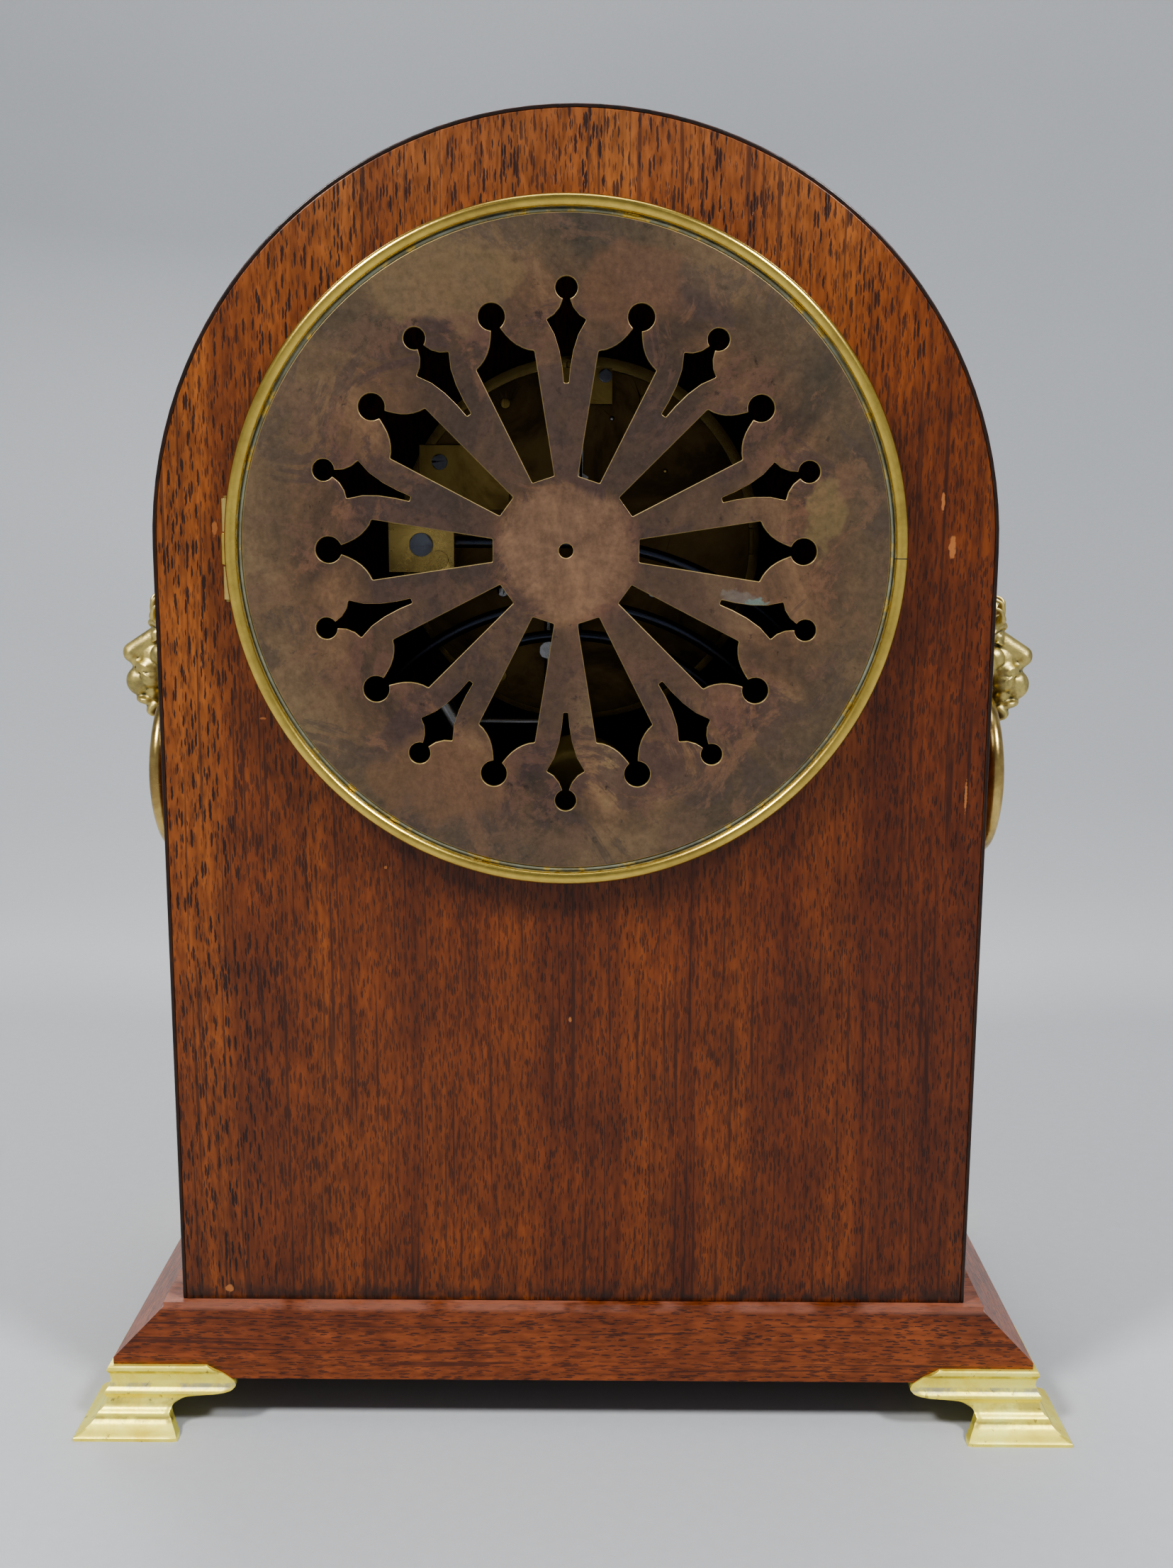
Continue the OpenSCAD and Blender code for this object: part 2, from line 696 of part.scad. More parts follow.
module centre_wheel() {
    color(brass) {
        arbor([0, 0], dial_y - 5.6, back_plate_y - fine, 1.2);
        arbor([0, 0], back_plate_y - 1, out_back + 0.4, 0.6);
        arbor([0, 0], -40.5, -38.8, 3.2);
        wheel([0, 0], centre_n, centre_m, heading([0, 0], third_at), -41.5, -40.5, 5, 4.2);
        pinion([0, 0], centre_pinion_n, great_m, meshed([0, 0], second_at, centre_pinion_n), -20.5, -15.5);
    }
}

module cannon_pinion() {
    color(steel) difference() {
        union() {
            arbor([0, 0], dial_y - 3.8, front_plate_y - 0.4, 1.9);
            pinion([0, 0], cannon_n, minute_m, heading([0, 0], minute_at), -45.9, -44.5);
        }
        arbor([0, 0], dial_y - 6, front_plate_y + 1, 1.2);
    }
}

module hand_nut() {
    color(brass) difference() {
        arbor([0, 0], dial_y - 5, dial_y - 3.8, 2.4);
        arbor([0, 0], dial_y - 6, dial_y, 1.2);
    }
}

// A blued hand drawn pointing up: a slim stem, an open crescent or loop, and a long tip
module hand(length, loop_at, loop_r, hub_r, bore, y0, y1) {
    loop_mid = loop_at + loop_r - 0.8;
    color(blued) difference() {
        union() {
            arbor([0, 0], y0, y1, hub_r);
            slab_y([0, 0], y0, y1) polygon([[-1.1, 2.4], [-0.7, loop_at], [0.7, loop_at], [1.1, 2.4]]);
            arbor([0, loop_mid], y0, y1, loop_r);
            slab_y([0, 0], y0, y1) polygon([[-1.5, loop_mid + loop_r - 0.9], [0, length],
                                            [1.5, loop_mid + loop_r - 0.9]]);
        }
        arbor([0, 0], y0 - 1, y1 + 1, bore);
        arbor([0, loop_mid], y0 - 1, y1 + 1, loop_r - 1);
    }
}

// The hands are shown at ten past ten
hour_rest = 305;
minute_rest = 60;

module minute_hand() {
    rotate_y(minute_rest) hand(minute_len, 27, 2.6, 3.2, 1.9, dial_y - 3.8, dial_y - 3.1);
}

module hour_hand() {
    rotate_y(hour_rest) hand(hour_len, 15, 3.4, 4.4, 2.9, dial_y - 2.2, dial_y - 1.5);
}

module hour_wheel() {
    color(brass) difference() {
        union() {
            arbor([0, 0], dial_y - 2.2, front_plate_y - 2.4, 2.9);
            wheel([0, 0], hour_n, hour_m, heading([0, 0], minute_at), -47.4, -46.5, 4, 4);
        }
        arbor([0, 0], dial_y - 4, front_plate_y + 1, 1.9 + run);
    }
}

module minute_wheel() {
    color(brass) difference() {
        union() {
            wheel(minute_at, minute_n, minute_m, meshed(minute_at, [0, 0], minute_n), -45.7, -44.7, 4, 3.4);
            pinion(minute_at, minute_pinion_n, hour_m, meshed(minute_at, [0, 0], minute_pinion_n), -47.6, -45.7);
        }
        arbor(minute_at, -50, -43, 0.9 + run);
    }
}

module barrel(at, toward) {
    color(brass) difference() {
        union() {
            arbor(at, -40, -23.6, 15);
            slab_y(at, -23.6, -22) polygon(wheel_outline(great_n, great_m, heading(at, toward)));
        }
        arbor(at, -39, -24.6, 14.2);
        arbor(at, -41, -20, 2.2 + run);
    }
}

module time_barrel() { barrel(time_at, second_at); }
module strike_barrel() { barrel(strike_at, pin_at); }

// A mainspring lying coiled inside its barrel
module coiled_spring(at) {
    color(steel) slab_y(at, -38, -25.6) polygon(concat(
        [for (k = [0 : 132]) turn(6.6 + 7.2 * k / 132, k * 15)],
        [for (k = [132 : -1 : 0]) turn(6.2 + 7.2 * k / 132, k * 15)]));
}

module time_spring() { coiled_spring(time_at); }
module strike_spring() { coiled_spring(strike_at); }

ratchet_n = 18;
ratchet_r = 6.5;

// Winding arbor with its square, its ratchet wheel and its core inside the barrel
module winding_arbor(at, sign) {
    color(steel) {
        arbor(at, front_plate_y - 2.2, back_plate_y - fine, 2.2);
        arbor(at, back_plate_y - 1, out_back + 0.4, 1.6);
        arbor(at, -38, -25.6, 5.2);
        translate([at[0] - 1.5, dial_y - 0.7, arch_z + at[1] - 1.5]) cube([3, 5, 3]);
        slab_y(at, front_plate_y - 1.9, front_plate_y - 0.6) polygon([for (k = [0 : ratchet_n - 1])
            for (q = [[ratchet_r, 0], [ratchet_r - 1.1, sign * 2]]) turn(q[0], k * 360 / ratchet_n * sign + q[1])]);
    }
}

module time_arbor() { winding_arbor(time_at, 1); }
module strike_arbor() { winding_arbor(strike_at, -1); }

// Pivot of a click, outward and below its winding arbor
function click_at(s) = [s * 32.4, -20.4];

module click(s) {
    color(steel) slab_y(click_at(s), front_plate_y - 1.9, front_plate_y - 0.6) difference() {
        mirror([s > 0 ? 0 : 1, 0, 0]) union() {
            circle(r = 2.1, $fn = 32);
            polygon([[-1.9, -0.9], [1.9, 1], [-0.4, 6.6], [-3.2, 9.4], [-3.9, 8.4], [-2.6, 5.4]]);
        }
        circle(r = 0.9 + run, $fn = 32);
    }
}

module time_click() { click(1); }
module strike_click() { click(-1); }

module second_wheel() {
    color(brass) {
        pivoted(second_at, 1, pivot_r);
        pinion(second_at, second_pinion_n, great_m, meshed(second_at, time_at, second_pinion_n), -25, -20.6);
        arbor(second_at, -20.6, -18.6, 2.6);
        wheel(second_at, second_n, great_m, heading(second_at, [0, 0]), -18.6, -17.4, 5, 3.6);
    }
}

module third_wheel() {
    color(brass) {
        pivoted(third_at, 0.8, pivot_r);
        pinion(third_at, third_pinion_n, centre_m, meshed(third_at, [0, 0], third_pinion_n), -41.6, -40.2);
        arbor(third_at, -17.2, -15.6, 2);
        wheel(third_at, third_n, third_m, heading(third_at, escape_at), -15.6, -14.6, 5, 3);
    }
}

module escape_wheel() {
    color(brass) {
        pivoted(escape_at, 0.7, pivot_r);
        pinion(escape_at, escape_pinion_n, third_m, meshed(escape_at, third_at, escape_pinion_n), -16.6, -13.6);
        arbor(escape_at, -19.5, -18.4, 1.8);
        slab_y(escape_at, -20.5, -19.5) difference() {
            polygon([for (k = [0 : escape_n - 1])
                for (q = [[escape_r, 0], [escape_r, 1.2], [escape_r - 1.3, 2.6], [escape_r - 1.3, 7.4]])
                    turn(q[0], k * 360 / escape_n + q[1])]);
            crossings(2.4, escape_r - 2.1, 4);
        }
    }
}

// ---------- escapement and pendulum ----------

module anchor() {
    color(steel) {
        arbor([0, anchor_up], in_front + fine, -6.2, 1);
        arbor([0, anchor_up], front_plate_y + fine, in_front + 1, pivot_r);
        arbor([0, anchor_up], -6.6, -4, pivot_r);
        slab_y([0, anchor_up], -20.5, -19.5) polygon([[0, 2.4], [3, 1.4], [6, -2], [8.2, -6.4], [7.8, -8.2],
            [6.9, -7.9], [4.8, -3.6], [2, -1.6], [0, -2], [-2, -1.6], [-4.8, -3.6], [-6.9, -7.9], [-7.8, -8.2],
            [-8.2, -6.4], [-6, -2], [-3, 1.4]]);
        slab_y([0, anchor_up], -7.4, -6.6) polygon([[-1.8, 1.8], [1.8, 1.8], [1.2, -22], [2.9, -23], [2.9, -26],
            [-2.9, -26], [-2.9, -23], [-1.2, -22]]);
        for (s = [-1, 1])
            box(s * 2.3 - 0.6, s * 2.3 + 0.6, -7.4, pend_y + 2.4, arch_z + anchor_up - 26, arch_z + anchor_up - 24);
    }
}

module suspension_cock() {
    color(brass) difference() {
        union() {
            for (s = [-1, 1])
                box(s * 7.6 - 2, s * 7.6 + 2, out_back, -3.8, arch_z + anchor_up - 1, arch_z + anchor_up + 7.4);
            box(-9.6, 9.6, -5.4, -3.8, arch_z + anchor_up - 2.6, arch_z + anchor_up + 7.4);
            box(-2.6, 2.6, -5.4, pend_y + 2.6, arch_z + anchor_up + 0.6, arch_z + anchor_up + 6.4);
        }
        arbor([0, anchor_up], -9, -2, pivot_r + run);
        box(-0.15, 0.15, pend_y - 1.8, pend_y + 4, arch_z + anchor_up, arch_z + anchor_up + 5.2);
    }
}

module suspension_spring() {
    color(steel) {
        box(-0.1, 0.1, pend_y - 1.5, pend_y + 1.5, arch_z + anchor_up - 7, arch_z + anchor_up + 0.3);
        box(-1.2, 1.2, pend_y - 1.9, pend_y + 1.9, arch_z + anchor_up - 10, arch_z + anchor_up - 7);
    }
}

bob_z = arch_z + anchor_up - pendulum_len;

module pendulum_rod() {
    color(steel) {
        translate([0, pend_y, bob_z - bob_r - 9])
            cylinder(h = pendulum_len - 10 + bob_r + 9, r = 1.1, $fn = 32);
    }
}

module pendulum_bob() {
    color(brass) difference() {
        lathe_y(0, bob_z, [[0, pend_y - 4], [bob_r - 5, pend_y - 3.4], [bob_r - 1.4, pend_y - 1.6],
                           [bob_r, pend_y - 0.8], [bob_r, pend_y + 0.8], [bob_r - 1.4, pend_y + 1.6],
                           [bob_r - 5, pend_y + 3.4], [0, pend_y + 4]]);
        translate([0, pend_y, bob_z - bob_r - 5]) cylinder(h = 2 * bob_r + 10, r = 1.1, $fn = 32);
    }
}

module rating_nut() {
    color(brass) translate([0, pend_y, bob_z - bob_r - 3]) difference() {
        cylinder(h = 3, r = 3.4, $fn = 48);
        translate([0, 0, -1]) cylinder(h = 5, r = 1.1, $fn = 32);
        for (k = [0 : 11]) rotate(30 * k) translate([3.6, 0, -1]) cylinder(h = 5, r = 0.5, $fn = 16);
    }
}

// ---------- strike train ----------

module pin_wheel() {
    color(brass) {
        pivoted(pin_at, 1.1, pivot_r);
        pinion(pin_at, pin_pinion_n, great_m, meshed(pin_at, strike_at, pin_pinion_n), -25, -21.2);
        arbor(pin_at, -18.5, -17, 2.6);
        wheel(pin_at, pin_n, pin_m, heading(pin_at, lock_at), -19.5, -18.5, 5, 3.4);
        for (k = [0 : 7]) arbor(pin_at + turn(12.4, 45 * k + 5), -20.9, -19.5, 0.4);
    }
}

module locking_wheel() {
    color(brass) {
        pivoted(lock_at, 0.9, pivot_r);
        pinion(lock_at, lock_pinion_n, pin_m, meshed(lock_at, pin_at, lock_pinion_n), -20.4, -17.6);
        arbor(lock_at, -27.3, -25.8, 2.2);
        wheel(lock_at, lock_n, lock_m, heading(lock_at, warn_at), -28.3, -27.3, 4, 3);
    }
}

module warning_wheel() {
    color(brass) {
        pivoted(warn_at, 0.75, pivot_r);
        pinion(warn_at, warn_pinion_n, lock_m, meshed(warn_at, lock_at, warn_pinion_n), -29.2, -26.4);
        arbor(warn_at, -33.5, -32.2, 2);
        wheel(warn_at, warn_n, warn_m, heading(warn_at, fly_at), -34.5, -33.5, 4, 2.8);
    }
}

module fly() {
    color(brass) {
        pivoted(fly_at, 0.65, pivot_r);
        pinion(fly_at, fly_pinion_n, warn_m, meshed(fly_at, warn_at, fly_pinion_n), -35.4, -32.6);
        arbor(fly_at, -31.4, -22.2, 1.3);
        box(fly_at[0] - 6.4, fly_at[0] + 6.4, -31, -22.6, arch_z + fly_at[1] - 0.25, arch_z + fly_at[1] + 0.25);
    }
}

// ---------- hammer and gong ----------

gong_at = [0, 0.6 - gong_r];
hammer_drop = 19;
head_at = [36.2, -49.4];

module hammer() {
    x = hammer_at[0];
    z = arch_z + hammer_at[1];
    color(steel) {
        arbor(hammer_at, in_front + fine, -3.6, 1.2);
        arbor(hammer_at, front_plate_y + fine, in_front + 1, 0.7);
        arbor(hammer_at, -6.6, -3.4, 2.6);
        // Tail that the strike pins lift
        slab_y(hammer_at, -21.2, -20.2) polygon([turn(2.6, 45), turn(36.2, 134.4), turn(37, 136), turn(2.6, 225)]);
        // Stem: down, back to the gong's plane, then across to the head
        translate([x, -5, z - hammer_drop]) cylinder(h = hammer_drop + 10, r = 1.2, $fn = 32);
        translate([x, -5, z - hammer_drop]) sphere(r = 1.2, $fn = 32);
        rod_y(x, z - hammer_drop, -5, gong_y, 1.2);
        translate([x, gong_y, z - hammer_drop]) sphere(r = 1.2, $fn = 32);
        translate([x, gong_y, z - hammer_drop]) rotate([0, 90, 0])
            cylinder(h = head_at[0] - x, r = 1.2, $fn = 32);
    }
    color(brass) translate([head_at[0], gong_y, arch_z + head_at[1]]) rotate([0, 30, 0]) {
        translate([0, 0, -2.5]) cylinder(h = 7.5, r = 3.4, $fn = 48);
        translate([0, 0, 5]) cylinder(h = 0.9, r = 2.2, $fn = 48);
    }
}

module gong_bracket() {
    color(brass) {
        box(20, 46, out_back, out_back + 2, arch_z + 9.5, arch_z + 28);
        box(34, 46, out_back, gong_y + 7, arch_z + 7.5, arch_z + 9.5);
    }
}

module gong_block() {
    color(brass) {
        box(34, 52, gong_y - 6, gong_y + 7, arch_z - 7.5, arch_z + 7.5);
        arbor([38.2, -4.2], gong_y + 7, gong_y + 7.8, 2.6);
    }
}

// Part of a turn of the gong, swept from one angle to another
module gong_arc(x, r, a0, a1) {
    translate([x, gong_y, arch_z + gong_at[1]]) rotate([90, 0, 0]) rotate([0, 0, a0])
        rotate_extrude(angle = a1 - a0) translate([r, 0]) circle(r = gong_wire / 2, $fn = 32);
}

// Coil of three turns made of half turns, with a straight root running to the block
module gong_coil() {
    shift = gong_pitch / 4;
    color(blued) {
        gong_arc(shift, gong_r, 90, 180);
        for (k = [0 : 2]) gong_arc(-shift, gong_r - gong_pitch * (k + 0.5), 180, 360);
        for (k = [1 : 2]) gong_arc(shift, gong_r - gong_pitch * k, 0, 180);
        gong_arc(shift, gong_r - gong_pitch * 3, 0, 130);
        translate([shift, gong_y, arch_z + 0.6]) rotate([0, 90, 0])
            cylinder(h = 34 - shift, r = gong_wire / 2, $fn = 32);
    }
}

// ---------- which nodes to draw ----------

case_shell();
front_panel();
back_panel();
plinth();
base_board();
foot_back_left();
foot_back_right();
foot_front_left();
foot_front_right();
foot_screws();
mask_left();
mask_right();
mask_screws();
ring_left();
ring_right();
seat_ring();
door_ring();
door_fret();
hinge_pins();
bezel_seat();
bezel();
dial_glass();
dial_plate();
seat_screws();
front_plate();
back_plate();
pillars();
movement_screws();
centre_wheel();
cannon_pinion();
minute_hand();
hand_nut();
hour_wheel();
hour_hand();
minute_wheel();
time_barrel();
time_spring();
time_arbor();
time_click();
second_wheel();
third_wheel();
escape_wheel();
anchor();
suspension_cock();
suspension_spring();
pendulum_rod();
pendulum_bob();
rating_nut();
strike_barrel();
strike_spring();
strike_arbor();
strike_click();
pin_wheel();
locking_wheel();
warning_wheel();
fly();
hammer();
gong_bracket();
gong_block();
gong_coil();
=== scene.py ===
import math
import random

import bmesh
import bpy
from mathutils import Matrix, Vector


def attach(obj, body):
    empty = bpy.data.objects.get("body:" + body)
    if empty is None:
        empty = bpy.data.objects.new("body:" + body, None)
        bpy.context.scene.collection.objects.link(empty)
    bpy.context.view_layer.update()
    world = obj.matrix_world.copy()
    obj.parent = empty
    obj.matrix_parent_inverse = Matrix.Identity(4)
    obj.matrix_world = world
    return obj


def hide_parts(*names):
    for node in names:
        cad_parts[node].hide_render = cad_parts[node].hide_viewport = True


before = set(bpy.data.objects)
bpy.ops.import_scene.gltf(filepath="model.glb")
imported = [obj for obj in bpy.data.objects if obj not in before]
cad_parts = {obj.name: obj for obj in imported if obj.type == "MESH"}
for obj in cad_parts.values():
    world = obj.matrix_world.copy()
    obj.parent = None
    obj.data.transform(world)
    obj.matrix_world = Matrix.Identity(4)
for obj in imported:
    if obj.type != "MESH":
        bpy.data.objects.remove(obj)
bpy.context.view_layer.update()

MM = 0.001
ARCH_Z = 0.233          # height of the dial, the movement and the back door
DOOR_X = 0.0022         # the back door sits a little off centre
DISC_Y = 0.0734         # back face of the pierced disc
PANEL_Y = 0.068         # back face of the back panel
FRONT_Y = -52.0         # front face of the front panel, in millimetres
DIAL_Y = -50.2          # front face of the dial, in millimetres
MASK_Z = 0.2014         # height of the lion masks
MASK_Y = 0.008
SIDE_X = 0.104          # case side, and the radius of the arch
RING_X = 0.1153         # a handle ring's pivot: out from the middle of the case, and up
RING_Z = 0.1908


# ---------- shader building ----------

class Shader:
    """One Principled material, made from small noise, colour and mask steps in object space."""

    def __init__(self, name):
        self.mat = bpy.data.materials.new(name)
        self.mat.use_nodes = True
        self.tree = self.mat.node_tree
        self.tree.nodes.clear()
        self.bsdf = self.node("BsdfPrincipled")
        out = self.node("OutputMaterial")
        self.tree.links.new(self.bsdf.outputs[0], out.inputs[0])
        self.coord = self.node("TexCoord").outputs["Object"]
        self.geo = self.node("NewGeometry")

    def node(self, kind, **settings):
        """A new shader node. kind is the end of its type's name, after ShaderNode."""
        n = self.tree.nodes.new("ShaderNode" + kind)
        for key, value in settings.items():
            setattr(n, key, value)
        return n

    def put(self, socket, value):
        if isinstance(value, bpy.types.NodeSocket):
            self.tree.links.new(value, socket)
        elif isinstance(value, (tuple, list)) and len(value) == 3 and len(socket.default_value) == 4:
            socket.default_value = (*value, 1.0)
        else:
            socket.default_value = value

    def math(self, op, a, b=0.0, clamp=False):
        n = self.node("Math", operation=op, use_clamp=clamp)
        self.put(n.inputs[0], a)
        self.put(n.inputs[1], b)
        return n.outputs[0]

    def plus(self, a, b, clamp=False):
        return self.math("ADD", a, b, clamp)

    def minus(self, a, b):
        return self.math("SUBTRACT", a, b)

    def times(self, a, b):
        return self.math("MULTIPLY", a, b)

    def inverse(self, a):
        return self.math("SUBTRACT", 1.0, a)

    def absolute(self, a):
        return self.math("ABSOLUTE", a)

    def hypot(self, a, b):
        return self.math("SQRT", self.plus(self.times(a, a), self.times(b, b)))

    def swing(self, value, amount):
        """A noise value as a push to both sides of zero."""
        return self.times(self.minus(value, 0.5), amount)

    def split(self, vector):
        n = self.node("SeparateXYZ")
        self.put(n.inputs[0], vector)
        return n.outputs[0], n.outputs[1], n.outputs[2]

    def join(self, x, y, z):
        n = self.node("CombineXYZ")
        for socket, value in zip(n.inputs, (x, y, z)):
            self.put(socket, value)
        return n.outputs[0]

    def scaled(self, vector, x, y, z, shift=(0, 0, 0)):
        n = self.node("Mapping")
        self.put(n.inputs["Vector"], vector)
        n.inputs["Scale"].default_value = (x, y, z)
        n.inputs["Location"].default_value = shift
        return n.outputs[0]

    def moved(self, vector, x, y, z):
        return self.scaled(vector, 1, 1, 1, shift=(x, y, z))

    def noise(self, vector, scale=1.0, detail=2.0, rough=0.5, distortion=0.0):
        n = self.node("TexNoise")
        self.put(n.inputs["Vector"], vector)
        for key, value in (("Scale", scale), ("Detail", detail), ("Roughness", rough),
                           ("Distortion", distortion)):
            n.inputs[key].default_value = value
        return n.outputs["Fac"]

    def dashes(self, vector, radius):
        """1 inside scattered rounds of uneven size, 0 between; a stretched vector makes dashes of them."""
        n = self.node("TexVoronoi")
        self.put(n.inputs["Vector"], vector)
        n.inputs["Scale"].default_value = 1.0
        size = self.level(self.split(n.outputs["Color"])[0], radius * 0.45, radius * 1.35)
        return self.step(self.minus(size, n.outputs["Distance"]), -0.03, 0.06)

    def step(self, value, low, high):
        """0 below low, 1 above high and smooth between."""
        n = self.node("MapRange", interpolation_type="SMOOTHSTEP")
        self.put(n.inputs["Value"], value)
        n.inputs["From Min"].default_value = low
        n.inputs["From Max"].default_value = high
        return n.outputs["Result"]

    def ramp(self, value, *stops):
        n = self.node("ValToRGB")
        self.put(n.inputs[0], value)
        ramp = n.color_ramp
        ramp.elements[0].position, ramp.elements[0].color = stops[0][0], (*stops[0][1], 1)
        ramp.elements[1].position, ramp.elements[1].color = stops[-1][0], (*stops[-1][1], 1)
        for place, colour in stops[1:-1]:
            ramp.elements.new(place).color = (*colour, 1)
        return n.outputs["Color"]

    def mix(self, fac, a, b, blend="MIX"):
        n = self.node("Mix", data_type="RGBA", blend_type=blend)
        self.put(n.inputs[0], fac)
        self.put(n.inputs[6], a)
        self.put(n.inputs[7], b)
        return n.outputs[2]

    def tinted(self, colour, tint, mask, amount, blend="MIX"):
        """colour, moved to tint by amount where mask is 1."""
        return self.mix(self.times(mask, amount), colour, tint, blend)

    def grained(self, colour, amount, value, low, high):
        """colour multiplied by a ramp of value between two (place, tint) ends."""
        return self.mix(amount, colour, self.ramp(value, low, high), "MULTIPLY")

    def level(self, fac, a, b):
        """A number that goes from a to b with fac."""
        n = self.node("MapRange")
        self.put(n.inputs["Value"], fac)
        n.inputs["To Min"].default_value = a
        n.inputs["To Max"].default_value = b
        return n.outputs["Result"]

    def spot(self, centre, radius, stretch=(1, 1, 1), ragged=0.5):
        """1 inside a ragged patch round a point, 0 outside."""
        moved = self.scaled(self.coord, *stretch,
                            shift=tuple(-c * s for c, s in zip(centre, stretch)))
        length = self.node("VectorMath", operation="LENGTH")
        self.put(length.inputs[0], moved)
        edge = self.swing(self.noise(self.coord, 0.9 / radius, 3.0), radius * 2 * ragged)
        return self.inverse(self.step(self.plus(length.outputs["Value"], edge), radius * 0.8, radius * 1.2))

    def bump(self, height, distance, strength=1.0, normal=None):
        n = self.node("Bump")
        self.put(n.inputs["Height"], height)
        n.inputs["Distance"].default_value = distance
        n.inputs["Strength"].default_value = strength
        if normal:
            self.put(n.inputs["Normal"], normal)
        return n.outputs[0]

    def from_door_centre(self):
        """Across and up from the back door's centre, and the distance from it."""
        x, _, z = self.split(self.coord)
        across, up = self.minus(x, DOOR_X), self.minus(z, ARCH_Z)
        return across, up, self.hypot(across, up)

    def set(self, **values):
        for key, value in values.items():
            self.put(self.bsdf.inputs[key.replace("_", " ")], value)
        return self.mat


# ---------- materials ----------

BARE_WOOD = (0.36, 0.135, 0.042)
CRUST_R = 0.07915       # radius of the line where the door ring meets the disc
# Chips in the back panel: across, up, radius, and how far each is squeezed across and up
CHIPS = ((-0.0898, 0.2452, 0.0009, 2.2, 0.42), (-0.0925, 0.2340, 0.0011, 1.4, 0.45),
         (-0.0985, 0.1720, 0.0006, 2.0, 0.16), (0.0915, 0.0380, 0.0010, 1, 1),
         (0.0780, 0.1910, 0.0004, 0.5, 1.6), (0.0480, 0.1530, 0.0004, 1, 1),
         (0.0010, 0.1130, 0.0005, 1.4, 0.7), (0.0885, 0.2380, 0.0010, 1.6, 0.5))
# Stains on the disc: across, up, radius, squeeze across and up, colour, strength
STAINS = ((-0.0400, 0.2215, 0.0020, 0.45, 1, (0.23, 0.21, 0.18), 0.5),
          (-0.0440, 0.2205, 0.0012, 0.5, 1, (0.20, 0.34, 0.31), 0.5),
          (0.0310, 0.2950, 0.0120, 0.7, 1.2, (0.24, 0.165, 0.085), 0.55),
          (-0.0600, 0.2420, 0.0055, 1.3, 0.6, (0.29, 0.22, 0.095), 0.4),
          (-0.0140, 0.2940, 0.0110, 1, 1, (0.19, 0.105, 0.062), 0.6),
          (0.0330, 0.1770, 0.0110, 0.7, 1, (0.21, 0.120, 0.066), 0.55))


